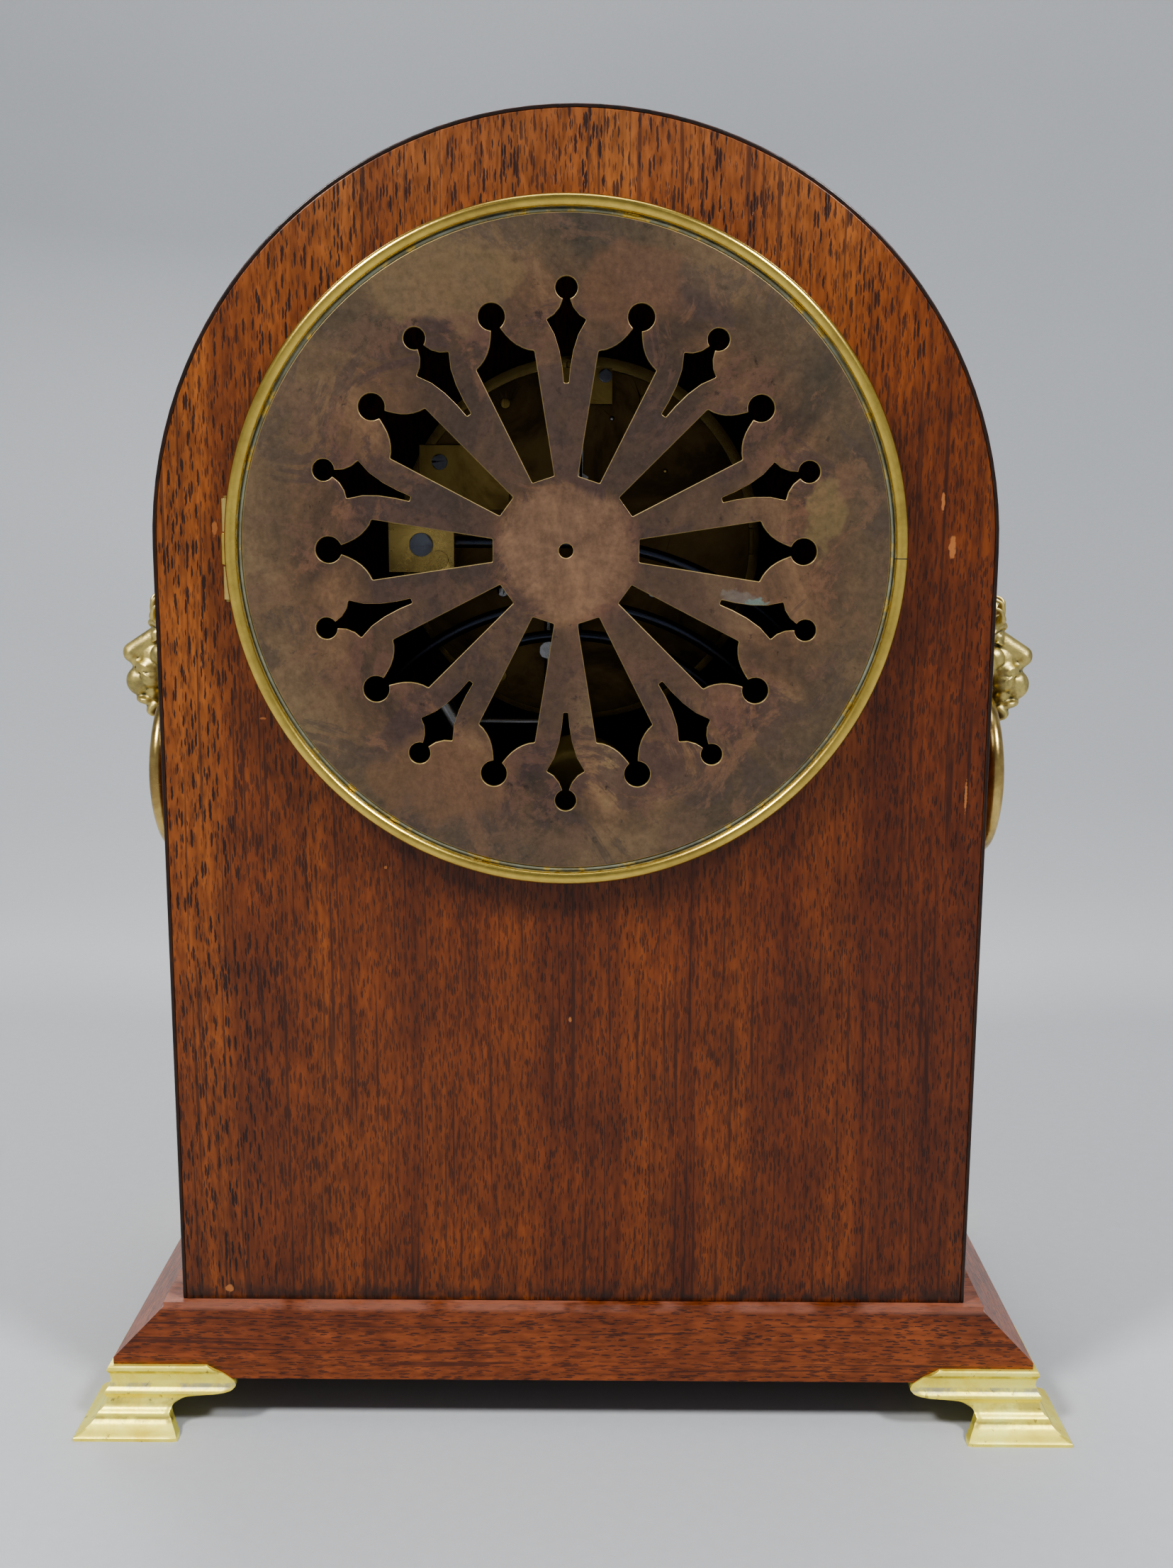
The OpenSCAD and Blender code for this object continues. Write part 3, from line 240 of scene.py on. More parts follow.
def mahogany(name, cut):
    """French-polished mahogany, its grain up a "panel", round the "arch" or along a "moulding"."""
    s = Shader(name)
    x, y, z = s.split(s.coord)
    facing_x, facing_y, _ = s.split(s.geo.outputs["True Normal"])
    if cut == "panel":
        across, depth, along = x, y, z
    elif cut == "arch":
        up = s.minus(z, ARCH_Z)
        turned = s.math("MAXIMUM", s.math("ARCTAN2", up, s.absolute(x)), 0.0)
        along = s.plus(s.math("MINIMUM", up, 0.0), s.times(turned, SIDE_X))
        across, depth = y, s.times(x, 0.2)
    else:
        end = s.step(s.absolute(facing_x), 0.35, 0.4)
        along = s.plus(s.times(x, s.inverse(end)), s.times(y, end))
        across, depth = z, s.plus(s.times(y, s.inverse(end)), s.times(end, 0.3))
    base = s.join(across, depth, along)
    across = s.plus(across, s.swing(s.noise(s.scaled(base, 9, 9, 6), 1.0, 1.0), 0.006))
    grain = s.join(across, depth, along)

    figure = s.noise(s.scaled(grain, 62, 30, 2.6), 1.0, 3.0, 0.55)
    streak = s.noise(s.scaled(grain, 420, 160, 9), 1.0, 2.0, 0.6)
    fleck = s.noise(s.scaled(grain, 900, 500, 190), 1.0, 1.0, 0.5)
    colour = s.ramp(figure, (0.28, (0.108, 0.0240, 0.0048)), (0.45, (0.140, 0.0330, 0.0063)),
                    (0.57, (0.168, 0.0425, 0.0079)), (0.74, (0.205, 0.0560, 0.0105)))
    colour = s.mix(0.42, colour, s.ramp(streak, (0.3, (0.42, 0.38, 0.36)), (0.5, (0.95, 0.95, 0.95)),
                                        (0.72, (1.35, 1.4, 1.45))), "MULTIPLY")
    colour = s.grained(colour, 0.55, fleck, (0.35, (0.58, 0.52, 0.46)), (0.6, (1.24, 1.26, 1.32)))

    # Open pores: short dark dashes, crowded into bands
    band = s.noise(s.scaled(grain, 75, 30, 3.2, shift=(3, 7, 1)), 1.0, 2.0, 0.6)
    ragged = s.swing(s.noise(grain, 900.0, 2.0), 0.0005)
    wavy = s.join(s.plus(across, ragged), depth, along)
    coarse = s.dashes(s.scaled(wavy, 1250, 1250, 185), 0.355)
    fine = s.dashes(s.scaled(wavy, 1900, 1900, 330, shift=(9, 2, 5)), 0.36)
    vein = s.noise(s.scaled(grain, 1000, 500, 14, shift=(2, 8, 3)), 1.0, 0.8, 0.4)
    lift = s.swing(band, 1.8)
    if cut == "panel":
        # Coarse towards the top and the left edge, close and quiet lower down
        open_grain = s.plus(s.step(z, 0.194, 0.314), s.step(x, 0.045, 0.095), True)
        weight = s.plus(s.level(open_grain, 0.34, 0.92), lift, True)
    else:
        weight = s.plus(0.66 if cut == "arch" else 0.22, lift, True)
    quiet = s.times(fine, s.minus(0.82, s.times(weight, 0.35)))
    pores = s.math("MAXIMUM", s.times(coarse, weight), quiet)
    pores = s.math("MAXIMUM", pores, s.times(s.step(vein, 0.630, 0.685), 0.62))
    colour = s.tinted(colour, (0.013, 0.0046, 0.0032), pores, 0.93)

    mottle = s.noise(s.scaled(s.coord, 85, 85, 52, shift=(4, 4, 4)), 1.0, 3.0, 0.6)
    colour = s.grained(colour, 0.8, mottle, (0.32, (0.76, 0.74, 0.74)), (0.68, (1.26, 1.30, 1.26)))
    if cut == "panel":
        # Painted light across the panel: a painted sheen, lighter and golden towards the top left, and painted
        # shade, darker and redder towards the lower right
        slant = s.plus(s.times(x, 3.2), s.times(s.minus(z, 0.164), 3.4))
        slant = s.plus(slant, s.swing(s.noise(s.coord, 9.0, 2.0), 0.9))
        top_left_sheen = s.step(slant, -0.35, 0.85)
        colour = s.tinted(colour, (1.32, 1.62, 2.0), top_left_sheen, 0.75, "MULTIPLY")
        # Painted sheen across the top of the arch
        top_sheen = s.times(s.step(z, 0.285, 0.335), s.level(s.noise(s.coord, 26.0, 3.0), 0.3, 1.0))
        colour = s.mix(top_sheen, colour, (1.30, 1.62, 2.3), "MULTIPLY")
        # Painted shade, darker and redder towards the lower right
        lower_right_shade = s.inverse(s.step(slant, -0.70, 0.25))
        colour = s.tinted(colour, (0.66, 0.58, 0.72), lower_right_shade, 0.6, "MULTIPLY")
        # Painted shade down the right side, around mid height
        beside = s.inverse(s.step(x, -0.085, -0.01))
        shade = s.times(beside, s.inverse(s.step(s.absolute(s.minus(z, 0.165)), 0.03, 0.10)))
        colour = s.tinted(colour, (0.72, 0.66, 0.72), shade, 0.45, "MULTIPLY")
        # Painted shade, patchy and near black, in the gap along the bottom where the panel meets the plinth
        low = s.inverse(s.step(z, 0.036, 0.0415))
        gap_shade = s.times(low, s.step(s.noise(s.coord, 260.0, 3.0), 0.36, 0.62))
        colour = s.tinted(colour, (0.012, 0.008, 0.006), gap_shade, 0.75)
        for at_x, at_z, radius, wide, tall in CHIPS:
            chip = s.spot((at_x, PANEL_Y, at_z), radius, (wide, 1, tall), 0.8)
            colour = s.tinted(colour, BARE_WOOD, chip, 0.9)
    if cut == "arch":
        # The lip round the panels is dyed nearly black
        lip = s.step(s.absolute(facing_y), 0.55, 0.8)
        colour = s.tinted(colour, (0.009, 0.006, 0.005), lip, 0.93)
    if cut == "moulding":
        # Painted highlight along the top edge, in patches, and a redder polish than the case's
        top_edge_highlight = s.times(s.step(z, 0.0322, 0.0338), s.step(s.noise(s.coord, 70.0, 4.0), 0.36, 0.56))
        colour = s.tinted(colour, (0.30, 0.125, 0.052), top_edge_highlight, 0.5)
        colour = s.mix(1.0, colour, (1.22, 1.28, 2.1), "MULTIPLY")

    wear = s.noise(s.coord, 34.0, 4.0, 0.6)
    haze = s.noise(s.scaled(s.coord, 7, 7, 5), 1.0, 3.0, 0.55)
    height = s.plus(s.times(pores, -0.55), s.times(streak, 0.22))
    orange_peel = s.bump(s.noise(s.coord, 420.0, 2.0), 0.00022, 0.25)
    return s.set(Base_Color=colour, Roughness=s.level(wear, 0.30, 0.46), Specular_IOR_Level=0.25,
                 Coat_Weight=0.22 if cut == "moulding" else 0.34,
                 Coat_Roughness=s.level(haze, 0.08, 0.26), Coat_IOR=1.45,
                 Normal=s.bump(height, 0.00009, 0.8),
                 Coat_Normal=s.bump(s.times(pores, -0.5), 0.00006, 0.6, orange_peel))


def plain_wood(name):
    s = Shader(name)
    ring = s.noise(s.scaled(s.coord, 8, 120, 60), 1.0, 3.0, 0.6)
    fine = s.noise(s.scaled(s.coord, 60, 900, 700), 1.0, 2.0)
    colour = s.ramp(ring, (0.3, (0.20, 0.105, 0.045)), (0.7, (0.34, 0.20, 0.095)))
    colour = s.grained(colour, 0.35, fine, (0.35, (0.55, 0.5, 0.45)), (0.65, (1.15, 1.15, 1.15)))
    return s.set(Base_Color=colour, Roughness=0.62, Normal=s.bump(fine, 0.0001, 0.5))


def door_brass(name):
    """The pierced disc: uncleaned brass gone copper, grey and purple, with bright sawn edges."""
    s = Shader(name)
    across, up, radius = s.from_door_centre()
    flat = s.join(across, 0.0, up)
    cloud = s.noise(flat, 19.0, 7.0, 0.66, 0.8)
    patch = s.noise(s.moved(flat, 5, 1, 2), 33.0, 9.0, 0.74, 1.2)
    grit = s.noise(flat, 520.0, 5.0, 0.75)
    colour = s.ramp(cloud, (0.30, (0.050, 0.041, 0.036)), (0.43, (0.094, 0.063, 0.045)),
                    (0.52, (0.160, 0.096, 0.058)), (0.60, (0.245, 0.145, 0.082)),
                    (0.72, (0.33, 0.225, 0.115)))
    purple = s.step(patch, 0.50, 0.56)
    colour = s.tinted(colour, (0.088, 0.056, 0.052), purple, 0.68)
    ochre = s.step(s.noise(s.moved(flat, 1, 4, 8), 27.0, 9.0, 0.74, 1.0), 0.555, 0.61)
    colour = s.tinted(colour, (0.235, 0.125, 0.076), ochre, 0.75)
    rosy = s.step(s.noise(s.moved(flat, 7, 2, 3), 44.0, 10.0, 0.78, 0.6), 0.525, 0.555)
    colour = s.tinted(colour, (0.185, 0.100, 0.070), rosy, 0.6)
    speck = s.step(s.noise(flat, 230.0, 6.0, 0.72), 0.60, 0.67)
    colour = s.tinted(colour, (0.040, 0.028, 0.024), speck, 0.7)
    # Olive grey towards the rim, darker among the bars, copper on the hub
    rim = s.step(radius, 0.058, 0.076)
    colour = s.mix(s.times(rim, s.level(cloud, 0.10, 0.65)), colour, (0.140, 0.118, 0.074))
    bars = s.times(s.step(radius, 0.0165, 0.020), s.inverse(s.step(radius, 0.038, 0.058)))
    colour = s.tinted(colour, (0.088, 0.063, 0.050), bars, 0.55)
    hub = s.inverse(s.step(s.plus(radius, s.swing(patch, 0.014)), 0.0145, 0.0175))
    hub_tint = s.ramp(s.noise(flat, 110.0, 8.0, 0.72), (0.38, (0.175, 0.105, 0.066)),
                      (0.62, (0.31, 0.185, 0.112)))
    colour = s.tinted(colour, hub_tint, hub, 0.85)
    for at_x, at_z, size, wide, tall, tint, strength in STAINS:
        stain = s.spot((at_x, DISC_Y, at_z), size, (wide, 1, tall), 1.1)
        colour = s.tinted(colour, tint, stain, strength)
    colour = s.grained(colour, 0.4, grit, (0.35, (0.55, 0.55, 0.55)), (0.6, (1.2, 1.2, 1.2)))
    # Sawn edges of the openings are clean metal
    _, facing_y, _ = s.split(s.geo.outputs["True Normal"])
    edge = s.inverse(s.step(s.absolute(facing_y), 0.80, 0.97))
    bright = s.times(edge, s.level(s.noise(s.coord, 60.0, 2.0), 0.55, 1.1))
    colour = s.mix(s.math("MINIMUM", bright, 1.0), colour, (0.90, 0.70, 0.27))
    scratch = s.noise(s.scaled(flat, 160, 1, 1900), 1.0, 2.0)
    rough = s.level(s.plus(s.times(patch, 0.7), s.times(grit, 0.3)), 0.30, 0.62)
    return s.set(Base_Color=colour, Metallic=s.level(edge, 0.72, 1.0), Roughness=rough,
                 Normal=s.bump(s.plus(s.times(grit, 0.6), s.times(scratch, 0.35)), 0.00005, 0.7))


def brass(name, clean, tarnish, amount, rough, scale=1.0, hollows=0.0, hollow_tint=(0.05, 0.042, 0.022)):
    """Handled brass: clean metal, patches of tarnish and, where asked, dark hollows and a painted highlight on
    the raised parts.
    """
    s = Shader(name)
    cloud = s.noise(s.coord, 60.0 * scale, 5.0, 0.65, 0.8)
    fine = s.noise(s.coord, 700.0 * scale, 4.0, 0.65)
    brush = s.noise(s.scaled(s.coord, 700, 700, 2600), 1.0, 2.0)
    mask = s.times(s.step(cloud, 0.42, 0.66), amount)
    colour = s.mix(mask, clean, tarnish)
    colour = s.grained(colour, 0.3, fine, (0.3, (0.62, 0.60, 0.55)), (0.65, (1.12, 1.12, 1.12)))
    rough_now = s.level(s.plus(s.times(cloud, 0.6), s.times(fine, 0.4)), rough * 0.6, rough * 1.45)
    grain = 0.00004
    if hollows:
        grain = 0.00010
        deep = s.inverse(s.step(s.geo.outputs["Pointiness"], 0.455, 0.497))
        # Painted highlight on the raised parts
        raised_highlight = s.step(s.geo.outputs["Pointiness"], 0.508, 0.545)
        colour = s.tinted(colour, hollow_tint, deep, hollows)
        colour = s.tinted(colour, (0.80, 0.64, 0.26), raised_highlight, 0.45)
        rough_now = s.plus(rough_now, s.times(deep, 0.3))
    return s.set(Base_Color=colour, Metallic=1.0, Roughness=rough_now,
                 Normal=s.bump(s.plus(fine, s.times(brush, 0.5)), grain, 0.6))


def ring_brass(name):
    """The door ring: handled brass with old polish and verdigris packed beside the disc."""
    s = Shader(name)
    _, _, radius = s.from_door_centre()
    cloud = s.noise(s.coord, 30.0, 5.0, 0.65, 0.8)
    fine = s.noise(s.coord, 520.0, 5.0, 0.7)
    dull = s.times(s.step(cloud, 0.42, 0.66), 0.65)
    colour = s.mix(dull, (0.70, 0.52, 0.140), (0.38, 0.26, 0.078))
    colour = s.grained(colour, 0.35, fine, (0.3, (0.58, 0.56, 0.50)), (0.65, (1.12, 1.12, 1.12)))
    away = s.absolute(s.minus(s.plus(radius, s.swing(fine, 0.0008)), CRUST_R))
    crust = s.times(s.inverse(s.step(away, 0.00045, 0.00085)),
                   s.step(s.noise(s.coord, 120.0, 5.0, 0.7), 0.34, 0.48))
    tint = s.ramp(s.noise(s.coord, 85.0, 4.0, 0.7), (0.4, (0.065, 0.080, 0.074)),
                  (0.62, (0.13, 0.165, 0.155)))
    colour = s.tinted(colour, tint, crust, 0.88)
    return s.set(Base_Color=colour, Metallic=s.level(crust, 1.0, 0.15),
                 Roughness=s.plus(s.level(cloud, 0.15, 0.30), s.times(crust, 0.45)),
                 Normal=s.bump(s.plus(fine, s.times(crust, 0.6)), 0.00006, 0.6))


def foot_brass(name):
    """Polished feet: pale yellow brass with polish left in the hollows and a chalky line under the lip."""
    s = Shader(name)
    _, _, z = s.split(s.coord)
    cloud = s.noise(s.coord, 75.0, 5.0, 0.65, 0.6)
    fine = s.noise(s.coord, 900.0, 4.0, 0.7)
    colour = s.ramp(cloud, (0.34, (0.92, 0.74, 0.12)), (0.5, (1.0, 0.88, 0.19)), (0.66, (1.0, 0.95, 0.27)))
    for height, width, tint, strength in ((0.0116, 0.0010, (0.42, 0.40, 0.31), 0.8),
                                          (0.0075, 0.0016, (0.30, 0.22, 0.07), 0.40),
                                          (0.0038, 0.0010, (0.24, 0.17, 0.055), 0.5),
                                          (0.0155, 0.0007, (0.22, 0.16, 0.06), 0.5)):
        line = s.inverse(s.step(s.absolute(s.minus(z, height)), width * 0.4, width))
        patchy = s.times(line, s.step(s.noise(s.coord, 150.0, 4.0, 0.7), 0.36, 0.6))
        colour = s.tinted(colour, tint, patchy, strength)
    speck = s.step(s.noise(s.coord, 480.0, 3.0, 0.6), 0.64, 0.70)
    colour = s.tinted(colour, (0.16, 0.11, 0.05), speck, 0.55)
    return s.set(Base_Color=colour, Metallic=0.72, Roughness=s.level(cloud, 0.28, 0.46),
                 Normal=s.bump(s.plus(fine, s.times(cloud, 1.5)), 0.00006, 0.55))


def steel(name, colour, rough, blue=None):
    s = Shader(name)
    fine = s.noise(s.scaled(s.coord, 900, 900, 2200), 1.0, 3.0, 0.6)
    cloud = s.noise(s.coord, 90.0, 4.0, 0.6)
    tint = s.mix(s.step(cloud, 0.5, 0.72), colour, blue or tuple(c * 0.55 for c in colour))
    return s.set(Base_Color=tint, Metallic=1.0, Roughness=s.level(cloud, rough * 0.7, rough * 1.4),
                 Normal=s.bump(fine, 0.00002, 0.5))


def enamel(name):
    s = Shader(name)
    cloud = s.noise(s.coord, 30.0, 3.0)
    crack = s.node("TexVoronoi", feature="DISTANCE_TO_EDGE")
    s.put(crack.inputs["Vector"], s.coord)
    crack.inputs["Scale"].default_value = 46.0
    hair = s.times(s.inverse(s.step(crack.outputs["Distance"], 0.002, 0.007)),
                  s.step(s.noise(s.coord, 22.0, 1.0), 0.60, 0.64))
    colour = s.ramp(cloud, (0.3, (0.70, 0.665, 0.57)), (0.7, (0.78, 0.755, 0.675)))
    colour = s.tinted(colour, (0.30, 0.25, 0.18), hair, 0.3)
    return s.set(Base_Color=colour, Roughness=0.22, Coat_Weight=0.7, Coat_Roughness=0.07,
                 Normal=s.bump(cloud, 0.0003, 0.15))


def ink(name):
    s = Shader(name)
    fine = s.noise(s.coord, 1500.0, 3.0)
    return s.set(Base_Color=s.ramp(fine, (0.3, (0.006, 0.006, 0.008)), (0.7, (0.020, 0.018, 0.018))),
                 Roughness=0.3)


def inlay(name):
    """Boxwood stringing."""
    s = Shader(name)
    fine = s.noise(s.scaled(s.coord, 900, 900, 60), 1.0, 3.0)
    return s.set(Base_Color=s.ramp(fine, (0.3, (0.40, 0.23, 0.075)), (0.7, (0.56, 0.36, 0.14))),
                 Roughness=0.35, Coat_Weight=0.6, Coat_Roughness=0.15)


def glass(name):
    s = Shader(name)
    smear = s.noise(s.coord, 45.0, 4.0, 0.6)
    return s.set(Base_Color=(0.97, 0.985, 0.98), Transmission_Weight=1.0, IOR=1.45,
                 Roughness=s.level(smear, 0.0, 0.035))


def backdrop(name):
    s = Shader(name)
    cloud = s.noise(s.coord, 1.6, 3.0, 0.5)
    weave = s.noise(s.coord, 260.0, 4.0, 0.7)
    colour = s.ramp(cloud, (0.3, (0.415, 0.425, 0.44)), (0.7, (0.455, 0.465, 0.48)))
    colour = s.grained(colour, 0.18, weave, (0.35, (0.86, 0.86, 0.86)), (0.65, (1.06, 1.06, 1.06)))
    x, y, z = s.split(s.coord)
    # Painted shade: the paper darkens further out from the clock and fades back up the wall
    painted_shade_band = s.times(s.step(s.hypot(x, y), 0.30, 0.95), s.inverse(s.step(z, 0.5, 1.15)))
    colour = s.mix(painted_shade_band, colour, (0.80, 0.805, 0.815), "MULTIPLY")
    return s.set(Base_Color=colour, Roughness=0.85, Normal=s.bump(weave, 0.0002, 0.3))


WOOD_PANEL = mahogany("mahogany_panel", "panel")
WOOD_ARCH = mahogany("mahogany_case", "arch")
WOOD_PLINTH = mahogany("mahogany_plinth", "moulding")
PINE = plain_wood("pine_inside")
PATINA = door_brass("patinated_brass")
RING_BRASS = ring_brass("door_ring_brass")
BEZEL_BRASS = brass("bezel_brass", (0.74, 0.55, 0.21), (0.38, 0.25, 0.09), 0.5, 0.22, 0.8)
LION_BRASS = brass("lion_brass", (0.60, 0.49, 0.195), (0.25, 0.21, 0.10), 0.85, 0.42, 1.6,
                   hollows=0.9, hollow_tint=(0.085, 0.085, 0.062))
HANDLE_BRASS = brass("handle_brass", (0.62, 0.46, 0.18), (0.30, 0.20, 0.08), 0.8, 0.24, 0.9)
FOOT_BRASS = foot_brass("foot_brass")
PLATE_BRASS = brass("movement_brass", (0.40, 0.29, 0.10), (0.17, 0.105, 0.038), 0.9, 0.36, 0.6)
# The back plate's brass is darkened nearly to black as painted shade, so it stays dark behind the disc's
# openings
PAINTED_SHADE_PLATE = brass("back_plate_painted_shade", (0.20, 0.135, 0.055), (0.075, 0.050, 0.026), 1.0, 0.42, 0.5)
WHEEL_BRASS = brass("wheel_brass", (0.60, 0.45, 0.17), (0.36, 0.25, 0.10), 0.5, 0.26, 1.0)
STEEL = steel("steel", (0.44, 0.44, 0.45), 0.25)
SCREW_STEEL = steel("screw_steel", (0.17, 0.18, 0.21), 0.26)
BLUED = steel("blued_steel", (0.020, 0.034, 0.085), 0.22, (0.045, 0.030, 0.055))
GONG = steel("gong_steel", (0.075, 0.085, 0.12), 0.26, (0.10, 0.085, 0.085))
ENAMEL = enamel("enamel")
INK = ink("black_enamel_ink")
BOXWOOD = inlay("boxwood")
GLASS = glass("dial_glass_clear")
PAPER = backdrop("backdrop_paper")


# ---------- mesh building ----------

def linked(name, data):
    obj = bpy.data.objects.new(name, data)
    bpy.context.collection.objects.link(obj)
    return obj


def piece(name, verts, faces, mat, body=None, smooth=True, slot=None):
    mesh = bpy.data.meshes.new(name)
    mesh.from_pydata([tuple(v) for v in verts], [], faces)
    mesh.validate()
    bm = bmesh.new()
    bm.from_mesh(mesh)
    bmesh.ops.remove_doubles(bm, verts=bm.verts, dist=1e-7)
    bmesh.ops.recalc_face_normals(bm, faces=bm.faces)
    bm.to_mesh(mesh)
    bm.free()
    mesh.materials.append(mat)
    obj = linked(name, mesh)
    if smooth:
        mesh.polygons.foreach_set("use_smooth", [True] * len(mesh.polygons))
        mesh.set_sharp_from_angle(angle=math.radians(38))
    if body:
        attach(obj, body)
    return obj


def smooth_path(points, steps):
    """A rounded path through some points."""
    pts = [Vector(p) for p in points]
    out = []
    for i in range(len(pts) - 1):
        a, b = pts[max(i - 1, 0)], pts[i]
        c, d = pts[i + 1], pts[min(i + 2, len(pts) - 1)]
        for k in range(steps):
            t = k / steps
            out.append(0.5 * ((2 * b) + (c - a) * t + (2 * a - 5 * b + 4 * c - d) * t ** 2
                              + (3 * b - a - 3 * c + d) * t ** 3))
    out.append(pts[-1])
    return out


def tube_faces(rows, cols, closed=False):
    """Quads between rows of cols points each, the columns running all the way round."""
    faces = []
    for i in range(rows if closed else rows - 1):
        here, there = i * cols, (i + 1) % rows * cols
        for k in range(cols):
            n = (k + 1) % cols
            faces.append((here + k, here + n, there + n, there + k))
    return faces


def lathe(profile, cx, cz, segments=256):
    """Verts and faces of a closed profile of (radius, y) points turned about the Y axis."""
    turns = [2 * math.pi * k / segments for k in range(segments)]
    verts = [(cx + r * math.cos(a), y, cz + r * math.sin(a)) for a in turns for r, y in profile]
    return verts, tube_faces(segments, len(profile), closed=True)


def cylinder_z(cx, cy, z0, z1, r, segments=40, chamfer=0.00025):
    """An upright cylinder with chamfered ends."""
    rings = [(z0, r - chamfer), (z0 + chamfer, r), (z1 - chamfer, r), (z1, r - chamfer)]
    turns = [2 * math.pi * k / segments for k in range(segments)]
    verts = [(cx + q * math.cos(a), cy + q * math.sin(a), z) for z, q in rings for a in turns]
    caps = [tuple(range(segments))[::-1], tuple(range(3 * segments, 4 * segments))]
    return verts, caps + tube_faces(len(rings), segments)


def merged(*parts):
    verts, faces = [], []
    for v, f in parts:
        shift = len(verts)
        verts += list(v)
        faces += [tuple(i + shift for i in face) for face in f]
    return verts, faces


def interpolate(table, z):
    """The value at z of a table of (z, value) rows, straight between them and flat past the ends."""
    if z <= table[0][0]:
        return table[0][1]
    for (z0, a), (z1, b) in zip(table, table[1:]):
        if z <= z1:
            t = (z - z0) / (z1 - z0)
            return a + (b - a) * t
    return table[-1][1]


def rounded(table, spread, z):
    """The same, averaged over a small height so that its corners are soft."""
    return sum(interpolate(table, z + spread * k) for k in (-1, -0.5, 0, 0.5, 1)) / 5


# ---------- feet ----------

# In millimetres: a foot's height and how far it stands in from the plinth's sides, the height of the
# plinth's underside, and half its width and depth
FOOT_H, FOOT_LAP, PLINTH_LOW, PLINTH_X, PLINTH_Y = 17.2, 3.0, 13.2, 122.8, 70.0
PAD_T = 2.5             # thickness of the screw pad
PAD = ((-1.2, -1.2), (20.2, -1.2), (20.8, -0.6), (20.8, 14), (14, 20.8), (-0.6, 20.8), (-1.2, 20.2))
# Rows of height and reach: the end of a wing, its outer face and its inner face
WING_END = [(0, 15.6), (1, 15.3), (2.9, 13.4), (5, 12.2), (6.8, 13), (8.2, 15.4), (9, 17.6), (9.4, 22),
            (9.8, 26), (10.5, 28.6), (11.5, 29.8), (12.7, 29.2), (14.8, 26.4), (16.5, 23), (17.2, 22)]
OGEE_OUT = [(0, 11.9), (0.9, 12), (1.3, 11.4), (1.9, 10), (3, 8.2), (3.9, 7.3), (4.6, 7.1), (5.2, 6.8),
            (6, 5.6), (7.1, 4.9), (8.4, 4.7), (9.4, 5), (9.9, 5.3), (10.5, 5), (11.4, 4.1), (13, 3.7),
            (15, 3.9), (15.8, 4.5), (16.5, 4.5), (17.2, 3.95)]
OGEE_IN = [(0, 9.4), (2.9, 5), (5.7, 2.6), (8.6, 0.8), (12.4, 0.6)]


def foot(name, sx, back):
    """A bracket foot: two moulded wings that meet at the corner, and the pad under the plinth."""
    levels = [0, 0.3, 0.6, 0.9] + [0.9 + 0.28 * k for k in range(1, 28)]
    levels += [8.6 + 0.12 * k for k in range(1, 24)] + [11.5 + 0.3 * k for k in range(1, 19)] + [17.05, FOOT_H]
    levels = sorted(set(round(v, 3) for v in levels if v <= FOOT_H))
    columns, eased = 26, 0.35       # points along a wing, and how far its outer corner is drawn in
    verts, faces = [], []
    for turn in (0, 1):
        start = len(verts)
        for z in levels:
            end = rounded(WING_END, 0.25, z)
            out = rounded(OGEE_OUT, 0.16, z)
            inner = FOOT_LAP if z > PLINTH_LOW else interpolate(OGEE_IN, z)
            for offset in (out, inner):
                for k in range(columns + 1):
                    t = k / columns
                    along = -offset + (end + offset) * t
                    edge = eased if t == 1 and offset == out else 0.0
                    p = (along, -(offset - edge), z)
                    verts.append(p if not turn else (p[1], p[0], p[2]))
        row = 2 * (columns + 1)
        for j in range(len(levels) - 1):
            for side in (0, 1):
                for k in range(columns):
                    a = start + j * row + side * (columns + 1) + k
                    faces.append((a, a + 1, a + row + 1, a + row))
            a = start + j * row + columns
            faces.append((a, a + columns + 1, a + columns + 1 + row, a + row))
        for j in (0, len(levels) - 1):
            for k in range(columns):
                a = start + j * row + k
                faces.append((a, a + 1, a + columns + 2, a + columns + 1))
    pad = [(x, y, z) for z in (PLINTH_LOW - PAD_T, PLINTH_LOW) for x, y in PAD]
    n = len(PAD)
    pad_faces = [tuple(range(n))[::-1], tuple(range(n, 2 * n))] + tube_faces(2, n)
    verts, faces = merged((verts, faces), (pad, pad_faces))
    sy = 1 if back else -1
    corner_x, corner_y = sx * (PLINTH_X - FOOT_LAP), sy * (PLINTH_Y - FOOT_LAP)
    placed = [((corner_x - sx * x) * MM, (corner_y - sy * y) * MM, z * MM) for x, y, z in verts]
    obj = piece("visual_" + name, placed, faces, FOOT_BRASS, "case", slot="bright_brass")
    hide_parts(name)


# ---------- lion masks ----------

def blob(p, l, v, rp, rl=None, rv=None, tilt=0.0):
    """An ellipsoid of a mask: out from the side, across, up, its three radii, and a tilt up or down."""
    rl, rv = rl or rp, rv or rp
    verts, rows, cols = [], 10, 16
    for i in range(rows + 1):
        th = math.pi * i / rows
        for k in range(cols):
            ph = 2 * math.pi * k / cols
            q = Vector((rp * math.cos(th), rl * math.sin(th) * math.cos(ph),
                        rv * math.sin(th) * math.sin(ph)))
            if tilt:
                q = Matrix.Rotation(math.radians(tilt), 3, "Y") @ q
            verts.append((p + q.x, l + q.y, v + q.z))
    return verts, tube_faces(rows + 1, cols)


